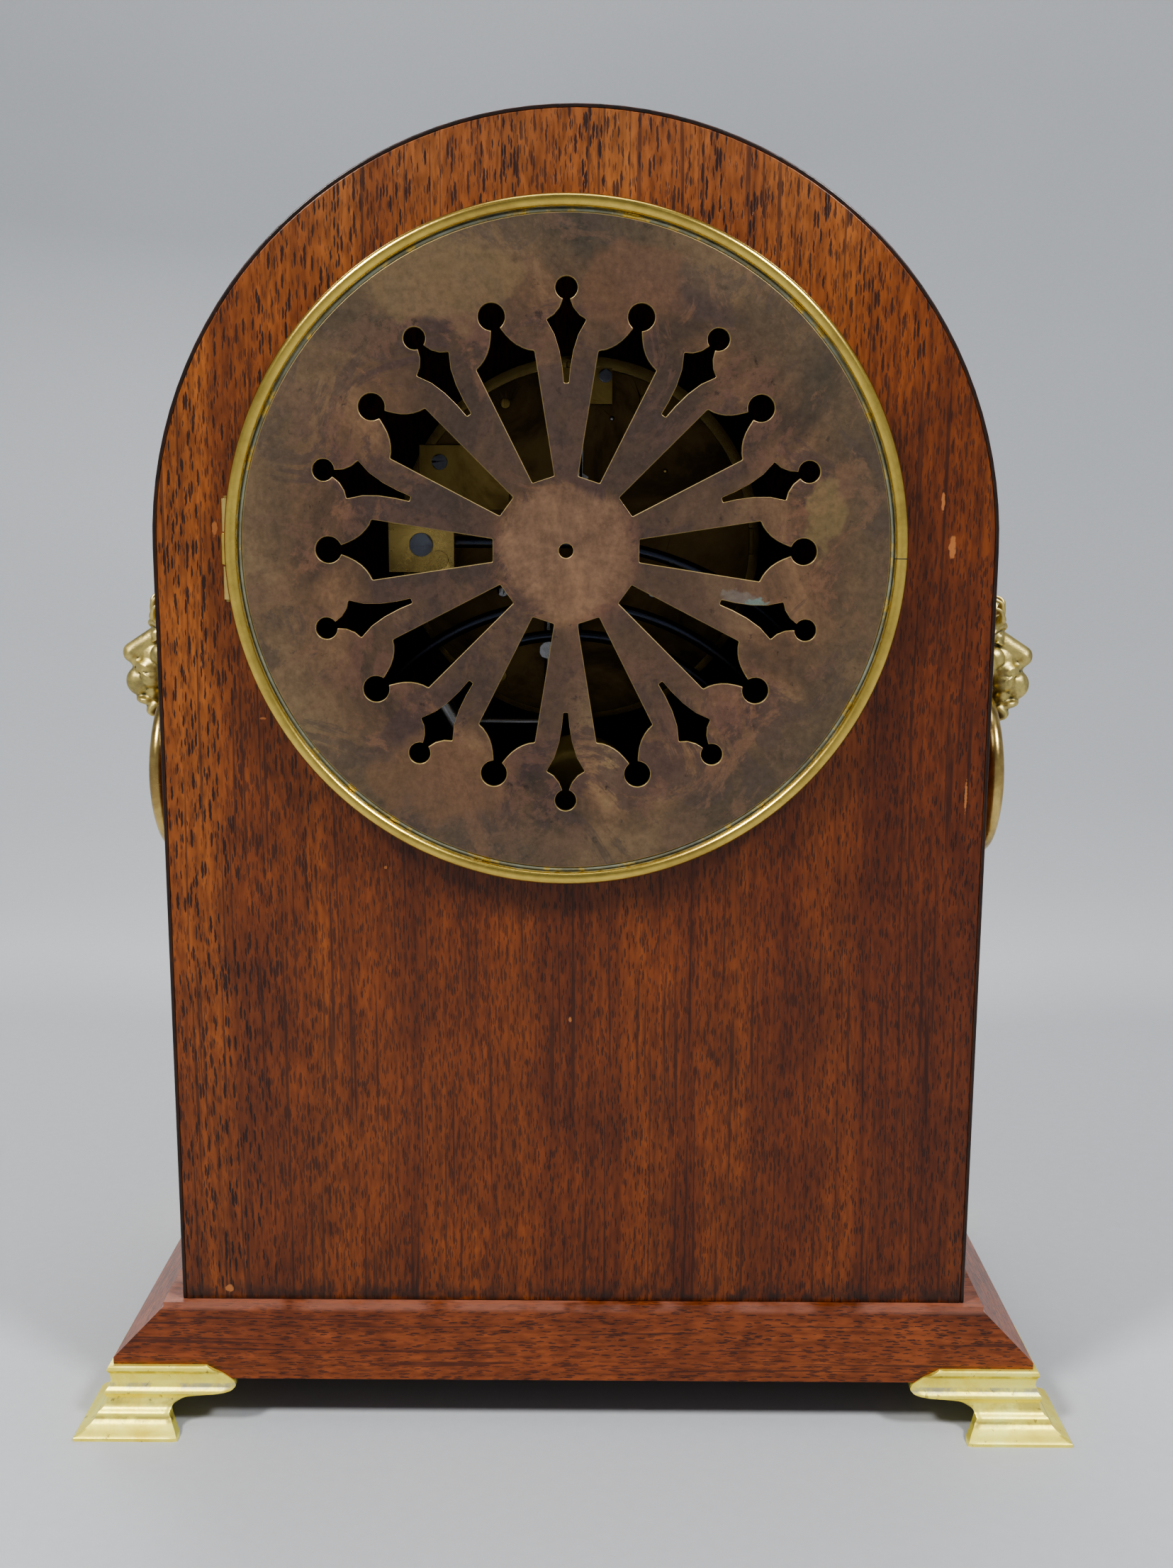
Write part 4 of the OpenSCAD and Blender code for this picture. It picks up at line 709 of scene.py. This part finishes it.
def strand(points, r0, r1, flat=1.0):
    """A tapering lock of mane through some (out, across, up) points."""
    path = smooth_path(points, 5)
    verts, cols = [], 10
    for i, p in enumerate(path):
        t = i / (len(path) - 1)
        way = (path[min(i + 1, len(path) - 1)] - path[max(i - 1, 0)]).normalized()
        side = way.cross(Vector((1, 0, 0)))
        side = side.normalized() if side.length > 1e-4 else Vector((0, 1, 0))
        up = side.cross(way)
        r = (r0 + (r1 - r0) * t) * (0.55 + 0.45 * math.sin(math.pi * min(1.0, 0.25 + t)))
        for k in range(cols):
            a = 2 * math.pi * k / cols
            verts.append(tuple(p + side * (r * math.cos(a)) + up * (r * flat * math.sin(a))))
    caps = [tuple(range(cols))[::-1], tuple(range((len(path) - 1) * cols, len(path) * cols))]
    return verts, tube_faces(len(path), cols) + caps


def lion_parts():
    """The overlapping blobs and strands of a mask, in millimetres out from the case side, across and up."""
    rng = random.Random(11)
    parts = [blob(0.6, 0, 0, 8.4, 14.6, 15.4), blob(6.5, 0, 1.0, 8.2, 10.0, 11.4),
             blob(10.6, 0, 7.2, 6.6, 6.6, 5.2),                 # forehead
             blob(22.9, 0, 0.3, 2.8, 3.6, 2.7),                 # nose pad
             blob(21.2, 0, -1.8, 2.6, 3.0, 2.0),
             blob(15.4, 0, -1.8, 6.2, 4.8, 6.6),                # the mass behind nose and lips
             blob(17.2, 0, -10.4, 2.7, 3.6, 2.6),
             blob(20.9, 0, -7.5, 4.3, 4.0, 4.5),                # under lip, pushed out
             blob(19.2, 0, -12.9, 3.3, 4.3, 1.5, -8),           # edge of the jaw
             blob(9.6, 0, -13.6, 5.6, 4.8, 4.0),
             blob(15.4, 0, -15.0, 3.4, 3.1, 3.0)]
    parts += [blob(13.4 + 1.15 * k, 0, 6.7 - 0.75 * k, 3.2, 3.4, 3.1) for k in range(9)]   # bridge
    for s in (-1, 1):
        parts += [blob(17.4, s * 3.0, -3.0, 3.4, 2.5, 2.4),     # muzzle cushions
                  blob(17.0, s * 3.0, -6.4, 3.4, 2.6, 3.0),
                  blob(13.2, s * 5.4, 0.6, 3.4, 3.0, 3.3),      # cheeks
                  blob(10.4, s * 7.6, -1.2, 3.6, 3.2, 4.2),
                  blob(14.6, s * 4.5, 6.2, 1.9, 1.7, 1.6),      # eyes
                  strand([(16.8, s * 1.9, 9.0), (15.6, s * 4.6, 9.6), (12.2, s * 8.0, 7.2)], 1.3, 0.9),
                  strand([(15.8, s * 3.0, 4.4), (15.8, s * 4.9, 4.2), (12.8, s * 7.2, 5.2)], 0.7, 0.5),
                  blob(6.4, s * 10.6, 10.2, 3.1, 2.7, 3.2),     # ears
                  blob(7.6, s * 11.4, 9.8, 2.4, 1.2, 1.5),
                  blob(4.8, s * 13.2, s * 4.4 - 1, 6.0, 2.9, 2.9)]   # locks over the screws
        for k in range(3):                                      # whisker folds
            parts.append(strand([(21.4, s * (1.8 + 0.4 * k), -1.6 - k), (19.6, s * 4.9, -2.4 - 1.2 * k),
                                 (16.8, s * 6.2, -3.4 - 1.3 * k)], 0.42, 0.3))
    # Crest over the brow
    for l, lean, top in ((0, 0, 17.8), (-2.8, -1.4, 17.0), (2.8, 1.4, 17.0),
                         (-5.8, -3.2, 15.0), (5.8, 3.2, 15.0)):
        parts.append(strand([(11.0, l * 0.8, 8.8), (14.4, l + lean * 0.2, 11.2),
                             (16.4 - abs(l) * 0.3, l + lean * 0.6, top - 3.2),
                             (16.2 - abs(l) * 0.4, l + lean, top - 1.0),
                             (13.6 - abs(l) * 0.4, l + lean, top)], 2.1, 1.0, 0.9))
    # Mane in two rows of curling locks
    for row, (r0, r1, p0, p1, size) in enumerate(((8.6, 15.9, 8.6, 3.2, 1.65),
                                                  (11.4, 16.5, 6.2, 1.4, 1.35))):
        count = 22 + 4 * row
        for k in range(count):
            a = math.radians(360 * (k + 0.5 * row) / count)
            bend = rng.uniform(0.10, 0.30) * (1 if math.cos(a) > 0 else -1)
            low = math.sin(a) < -0.55
            if low and abs(math.cos(a)) < 0.42:
                continue
            lift = 0.0 if math.sin(a) > -0.3 else -2.6           # kept behind the hanging ring
            mid, tip = (r0 + r1) / 2, r1 + rng.uniform(-0.5, 0.2)
            rise = p0 + rng.uniform(-0.2, 1.2) + lift
            parts.append(strand([(p0 + lift, r0 * math.cos(a), r0 * math.sin(a)),
                                 (rise, mid * math.cos(a + bend * 0.3), mid * math.sin(a + bend * 0.3)),
                                 (p1, tip * math.cos(a - bend), tip * math.sin(a - bend))], size, 0.55, 0.8))
    # Beard
    for k in range(-2, 3):
        parts.append(strand([(16.2 - abs(k) * 0.3, k * 1.2, -13.6), (19.0 - abs(k) * 0.5, k * 1.5, -16.2),
                             (16.2 - abs(k) * 0.4, k * 1.4, -18.4 + abs(k) * 0.4)], 1.6, 0.8))
    return parts


def lion_mesh():
    """One mask in its own measures, fused into a single skin."""
    verts, faces = merged(*lion_parts())
    obj = piece("lion_work", [(p * MM, l * MM, v * MM) for p, l, v in verts], faces, LION_BRASS)
    skin = obj.modifiers.new("skin", "REMESH")
    skin.mode, skin.voxel_size, skin.use_smooth_shade = "VOXEL", 0.00036, True
    ease = obj.modifiers.new("ease", "SMOOTH")
    ease.factor, ease.iterations = 0.6, 11
    # Cut the hole through the mouth that the ring hangs in, and a flat back
    reach, bore = 0.022, 0.00335
    mouth = lathe([(0.0, -reach), (bore, -reach), (bore, reach), (0.0, reach)], 11.3 * MM, -10.6 * MM, 40)
    wide = 0.03
    block = [(x, y, z) for x in (-wide, 0.0) for y in (-wide, wide) for z in (-wide, wide)]
    sides = [(0, 1, 3, 2), (4, 6, 7, 5), (0, 4, 5, 1), (2, 3, 7, 6), (0, 2, 6, 4), (1, 5, 7, 3)]
    cutters = [piece("mouth_cut", *mouth, LION_BRASS), piece("back_cut", block, sides, LION_BRASS)]
    for c in cutters:
        cut = obj.modifiers.new("cut", "BOOLEAN")
        cut.object, cut.operation, cut.solver = c, "DIFFERENCE", "EXACT"
    done = bpy.data.meshes.new_from_object(obj.evaluated_get(bpy.context.evaluated_depsgraph_get()))
    for o in [obj] + cutters:
        bpy.data.objects.remove(o)
    return done


def lion(mesh, name, sx):
    """The mask on one side of the case, mirrored for the right."""
    here = mesh.copy()
    here.name = name
    here.transform(Matrix.Translation((sx * SIDE_X, MASK_Y, MASK_Z)) @ Matrix.Diagonal((sx, 1, 1, 1)))
    if sx < 0:
        here.flip_normals()
    here.materials.clear()
    here.materials.append(LION_BRASS)
    here.polygons.foreach_set("use_smooth", [True] * len(here.polygons))
    obj = linked("visual_" + name, here)
    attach(obj, "case")
    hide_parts(name)


def handle(name, sx):
    """A cast ring, a little thicker at its two sides than at its top and bottom."""
    r = 0.0216
    cx, cz = sx * RING_X, RING_Z - r
    verts, around, cols = [], 160, 24
    for i in range(around):
        a = 2 * math.pi * i / around
        wire = 0.00236 - 0.00010 * math.cos(2 * a) + 0.00004 * math.sin(5 * a)
        for k in range(cols):
            b = 2 * math.pi * k / cols
            q = r + wire * math.cos(b)
            verts.append((cx + wire * math.sin(b), MASK_Y + q * math.sin(a), cz + q * math.cos(a)))
    faces = tube_faces(around, cols, closed=True)
    side = "left" if sx > 0 else "right"
    obj = piece("visual_" + name, verts, faces, HANDLE_BRASS, "handle_" + side, slot="bright_brass")
    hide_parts(name)


# ---------- back door ring ----------

def arc(cx, cy, r, a0, a1, steps):
    return [(cx + r * math.cos(math.radians(a0 + (a1 - a0) * k / steps)),
             cy + r * math.sin(math.radians(a0 + (a1 - a0) * k / steps))) for k in range(steps + 1)]


HINGE_X, HINGE_Y = 0.0848, 0.0706       # the back door's hinge pin
KNUCKLE = 0.0039        # half the height of the door ring's own hinge knuckle


def door_ring():
    """Rolled bead, a dark groove, then a thin raised line against the disc."""
    mm = [(74.5, 70.0), (81.8, 70.0)] + arc(81.6, 71.4, 1.4, -80, -5, 5)    # (radius, y) in millimetres
    mm += arc(81.35, 72.92, 1.6, -38, 196, 26)
    mm += [(79.74, 72.5), (79.6, 72.45)]
    mm += arc(79.1, 72.75, 0.46, -20, 200, 10) + [(78.62, 72.2), (74.5, 72.2)]
    ring = lathe([(r * MM, y * MM) for r, y in mm], DOOR_X, ARCH_Z, 288)
    knuckle = cylinder_z(HINGE_X, HINGE_Y, ARCH_Z - KNUCKLE, ARCH_Z + KNUCKLE, 0.0017)
    verts, faces = merged(ring, knuckle)
    # The bead stops short of the knuckles that stay on the case
    clear = []
    for x, y, z in verts[:len(ring[0])]:
        beside = KNUCKLE < abs(z - ARCH_Z) < 0.0130 and y < 0.0728
        clear.append((min(x, 0.0826) if beside else x, y, z))
    obj = piece("visual_door_ring", clear + verts[len(ring[0]):], faces, RING_BRASS, "back_door",
                slot="door_brass")
    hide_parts("door_ring")
    # The butt joint of the bent bead, a hairline
    line = arc(81.35, 72.92, 1.63, -38, 196, 16)
    joint = [(DOOR_X - r * MM, y * MM, ARCH_Z - 0.0016 + dz) for dz in (-0.00011, 0.00011) for r, y in line]
    n = len(line)
    piece("door_ring_seam", joint, [(k, k + 1, n + k + 1, n + k) for k in range(n - 1)], INK, "back_door",
          slot="door_brass")


# ---------- CAD nodes that are shown as they are, with softened edges ----------

def dress(name, mat, width, segments):
    """Shows a CAD node in a material, with its edges bevelled by a width in metres."""
    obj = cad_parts[name]
    obj.data.materials.clear()
    obj.data.materials.append(mat)
    weld = obj.modifiers.new("weld", "WELD")
    weld.merge_threshold = 2e-6
    if width:
        edge = obj.modifiers.new("edge", "BEVEL")
        edge.width, edge.segments, edge.limit_method = width, segments, "ANGLE"
        edge.angle_limit, edge.use_clamp_overlap = math.radians(32), True
        edge.miter_outer = "MITER_ARC"
        flat = obj.modifiers.new("flat", "WEIGHTED_NORMAL")
        flat.keep_sharp, flat.weight = False, 80


# Nodes, their material, and the width and steps of their edges
for names, mat, width, segments in (
        ("case_shell", WOOD_ARCH, 0.0004, 3),
        ("front_panel back_panel", WOOD_PANEL, 0.0003, 2),
        ("plinth", WOOD_PLINTH, 0.0005, 3),
        ("base_board", PINE, 0.0003, 2),
        ("foot_screws", SCREW_STEEL, 0.0001, 2),
        ("movement_screws", SCREW_STEEL, 0.00012, 2),
        ("mask_screws seat_screws", STEEL, 0.0001, 2),
        ("seat_ring bezel_seat bezel", BEZEL_BRASS, 0.0002, 2),
        ("door_fret", PATINA, 0.00048, 2),
        ("hinge_pins", PLATE_BRASS, 0.0001, 2),
        ("dial_glass", GLASS, 0, 0),
        ("dial_plate", ENAMEL, 0.0003, 3),
        ("back_plate", PAINTED_SHADE_PLATE, 0.0002, 2),
        ("front_plate pillars hand_nut suspension_cock pendulum_bob rating_nut gong_bracket",
         PLATE_BRASS, 0.0002, 2),
        ("centre_wheel hour_wheel minute_wheel time_barrel second_wheel third_wheel escape_wheel"
         " strike_barrel pin_wheel locking_wheel warning_wheel", WHEEL_BRASS, 0.00008, 1),
        ("gong_block", WHEEL_BRASS, 0.0003, 2),
        ("cannon_pinion time_arbor strike_arbor anchor hammer suspension_spring pendulum_rod"
         " time_spring strike_spring fly", STEEL, 0.00008, 1),
        ("time_click strike_click minute_hand hour_hand", BLUED, 0.00012, 2),
        ("gong_coil", GONG, 0, 0)):
    for name in names.split():
        dress(name, mat, width, segments)

for side, sx in (("left", 1), ("right", -1)):
    foot("foot_back_" + side, sx, True)
    foot("foot_front_" + side, sx, False)
    handle("ring_" + side, sx)
mask = lion_mesh()
lion(mask, "mask_left", 1)
lion(mask, "mask_right", -1)
door_ring()


# ---------- the front: numerals, minute ring, winding holes and stringing ----------

def flat_strips(strips, y, thick=0.06):
    """Thin strips, each of four (across, up) corners in millimetres, on a face that looks to -Y."""
    verts, faces = [], []
    for strip in strips:
        n = len(verts)
        verts += [(x * MM, yy * MM, ARCH_Z + z * MM) for yy in (y, y - thick) for x, z in strip]
        faces += [(n + 4, n + 5, n + 6, n + 7)] + [(n + k, n + (k + 1) % 4, n + 4 + (k + 1) % 4, n + 4 + k)
                                                  for k in range(4)]
    return verts, faces


def stroke(a, b, width):
    """A strip of some width from one point to another."""
    (x0, z0), (x1, z1) = a, b
    long = math.hypot(x1 - x0, z1 - z0)
    nx, nz = -(z1 - z0) / long * width / 2, (x1 - x0) / long * width / 2
    return [(x0 + nx, z0 + nz), (x0 - nx, z0 - nz), (x1 - nx, z1 - nz), (x1 + nx, z1 + nz)]


def numeral(letters, tall=8.6):
    """Strokes of a Roman numeral, centred on zero and standing on zero."""
    wide = {"I": 2.5, "V": 5.4, "X": 5.6}
    at, strokes, top, serif = -sum(wide[c] for c in letters) / 2, [], tall - 0.1, 0.34
    ends = (0.17, tall - 0.17)
    for c in letters:
        mid = at + wide[c] / 2
        if c == "I":
            strokes += [stroke((mid, 0.1), (mid, top), 1.25)]
            strokes += [stroke((mid - 1.1, e), (mid + 1.1, e), serif) for e in ends]
        elif c == "V":
            strokes += [stroke((mid - 1.7, top), (mid + 0.1, 0.2), 1.3),
                        stroke((mid + 1.8, top), (mid + 0.3, 0.2), 0.45)]
            strokes += [stroke((mid + k - 1.0, ends[1]), (mid + k + 1.0, ends[1]), serif)
                        for k in (-1.7, 1.7)]
        else:
            strokes += [stroke((mid - 1.8, top), (mid + 1.8, 0.1), 1.35),
                        stroke((mid + 1.8, top), (mid - 1.8, 0.1), 0.45)]
            strokes += [stroke((mid + k - 1.0, e), (mid + k + 1.0, e), serif)
                        for k in (-1.8, 1.8) for e in ends]
        at += wide[c]
    return strokes


def dial_marks():
    """Chapter ring of a generic enamel dial, and the rims of its winding holes."""
    names = ("XII", "I", "II", "III", "IIII", "V", "VI", "VII", "VIII", "IX", "X", "XI")
    foot_r, track = 37.4, (48.0, 50.3)      # where the numerals stand, and the two lines of the minute ring
    strips = []

    def around(angle, r, across=0.0):
        return (across * math.cos(angle) + r * math.sin(angle), -across * math.sin(angle) + r * math.cos(angle))
    for hour, letters in enumerate(names):
        a = math.radians(30 * hour)
        strips += [[around(a, foot_r + z, x) for x, z in quad] for quad in numeral(letters)]
    for minute in range(60):
        a = math.radians(6 * minute)
        width, out = (0.75, 50.4) if minute % 5 == 0 else (0.28, 50.2)
        strips.append(stroke(around(a, track[0]), around(a, out), width))
    for r in track:
        for k in range(180):
            a, b = math.radians(2 * k), math.radians(2 * k + 2)
            strips.append([around(t, r + d) for t, d in ((a, -0.11), (b, -0.11), (b, 0.11), (a, 0.11))])
    piece("dial_numerals", *flat_strips(strips, DIAL_Y), INK, "case", smooth=False, slot="enamel")
    for label, x in (("time", 22), ("strike", -22)):
        rim = [(3.4, -49.3), (3.4, -50.5), (3.7, -50.7), (4.4, -50.6), (4.9, -50.2), (4.9, -50.0)]
        turned = lathe([(r * MM, y * MM) for r, y in rim], x * MM, ARCH_Z - 0.014, 48)
        piece("winding_rim_" + label, *turned, BEZEL_BRASS, "case", slot="bright_brass")


def stringing():
    """A narrow boxwood line let into the front panel, following its arch."""
    low, r, half = 47.0 - ARCH_Z / MM, 92.0, 0.6
    path = [(-r, low)] + arc(0, 0, r, 180, 0, 60) + [(r, low)]
    strips = []
    for (x0, z0), (x1, z1) in zip(path, path[1:]):
        if z0 < 0 or z1 < 0:
            strips.append(stroke((x0, z0), (x1, z1), 2 * half))
        else:
            strips.append([(x * k, z * k) for x, z, k in ((x0, z0, 1 - half / r), (x1, z1, 1 - half / r),
                                                          (x1, z1, 1 + half / r), (x0, z0, 1 + half / r))])
    strips.append(stroke((-r - half, low), (r + half, low), 2 * half))
    piece("front_stringing", *flat_strips(strips, FRONT_Y, 0.04), BOXWOOD, "case", smooth=False,
          slot="mahogany")


dial_marks()
stringing()


# ---------- stage, light and camera ----------

def bowl():
    """Seamless grey paper: flat under the clock, rising all round."""
    floor_r, sweep = 0.62, 1.1
    profile = [(0.0, 0.0), (0.35, 0.0), (floor_r, 0.0)]
    profile += [(floor_r + sweep * math.sin(math.radians(a)), sweep * (1 - math.cos(math.radians(a))))
                for a in range(3, 88, 4)]
    profile += [(1.74, 1.3), (1.76, 2.1)]
    verts, faces, n, around = [], [], len(profile), 96
    for k in range(around):
        a = 2 * math.pi * k / around
        verts += [(r * math.cos(a), r * math.sin(a), z) for r, z in profile]
    for k in range(around):
        for i in range(n - 1):
            a, b = k * n + i, ((k + 1) % around) * n + i
            faces.append((a, b, b + 1, a + 1))
    obj = piece("backdrop", verts, faces, PAPER)


def area_light(name, place, aim, size, watts, colour=(1, 1, 1)):
    lamp = bpy.data.lights.new(name, "AREA")
    lamp.shape, lamp.size, lamp.energy, lamp.color = "DISK", size, watts, colour
    obj = linked(name, lamp)
    obj.location = place
    obj.rotation_mode = "QUATERNION"
    obj.rotation_quaternion = (Vector(aim) - Vector(place)).to_track_quat("-Z", "Y")


def camera():
    """Behind the clock and a little above it, looking down by about ten degrees."""
    yaw, pitch, roll = 0.0037, 0.1708, 0.0042
    cy, sy, cp, sp, cr, sr = (f(a) for a in (yaw, pitch, roll) for f in (math.cos, math.sin))
    base = Matrix(((1, 0, 0), (0, 0, -1), (0, 1, 0)))
    turn = (Matrix(((cr, -sr, 0), (sr, cr, 0), (0, 0, 1))) @ Matrix(((1, 0, 0), (0, cp, -sp), (0, sp, cp)))
            @ Matrix(((cy, 0, sy), (0, 1, 0), (-sy, 0, cy))) @ base)
    right, down, ahead = (Vector((-row[0], -row[1], row[2])) for row in turn)
    lens = bpy.data.cameras.new("camera")
    lens.lens, lens.sensor_width, lens.sensor_fit = 37.03, 36.0, "AUTO"
    lens.clip_start, lens.clip_end = 0.01, 20.0
    obj = linked("camera", lens)
    place = Matrix((right, -down, -ahead)).transposed().to_4x4()
    place.translation = (-0.00447, 0.468, 0.24375)
    obj.matrix_world = place
    bpy.context.scene.camera = obj


bowl()
area_light("softbox_left", (0.78, 0.72, 1.25), (0, 0, 0.12), 0.28, 19.0, (1.0, 0.985, 0.96))
area_light("softbox_right", (-0.78, 0.72, 1.25), (0, 0, 0.12), 0.28, 17.0, (0.97, 0.985, 1.0))
area_light("wall_light", (0.0, -0.7, 1.9), (0, -1.6, 0.7), 0.9, 9)
area_light("top_light", (0.0, -0.1, 1.7), (0, 0, 0), 0.9, 4.5)
area_light("far_fill", (0.3, -1.1, 1.1), (0, 0, 0.2), 0.7, 6)
world = bpy.data.worlds.new("studio")
world.use_nodes = True
sky = world.node_tree.nodes["Background"]
sky.inputs["Color"].default_value = (0.80, 0.88, 1.0, 1)
sky.inputs["Strength"].default_value = 0.20
scene = bpy.context.scene
scene.world = world
scene.view_settings.view_transform, scene.view_settings.look = "AgX", "AgX - Medium High Contrast"
camera()
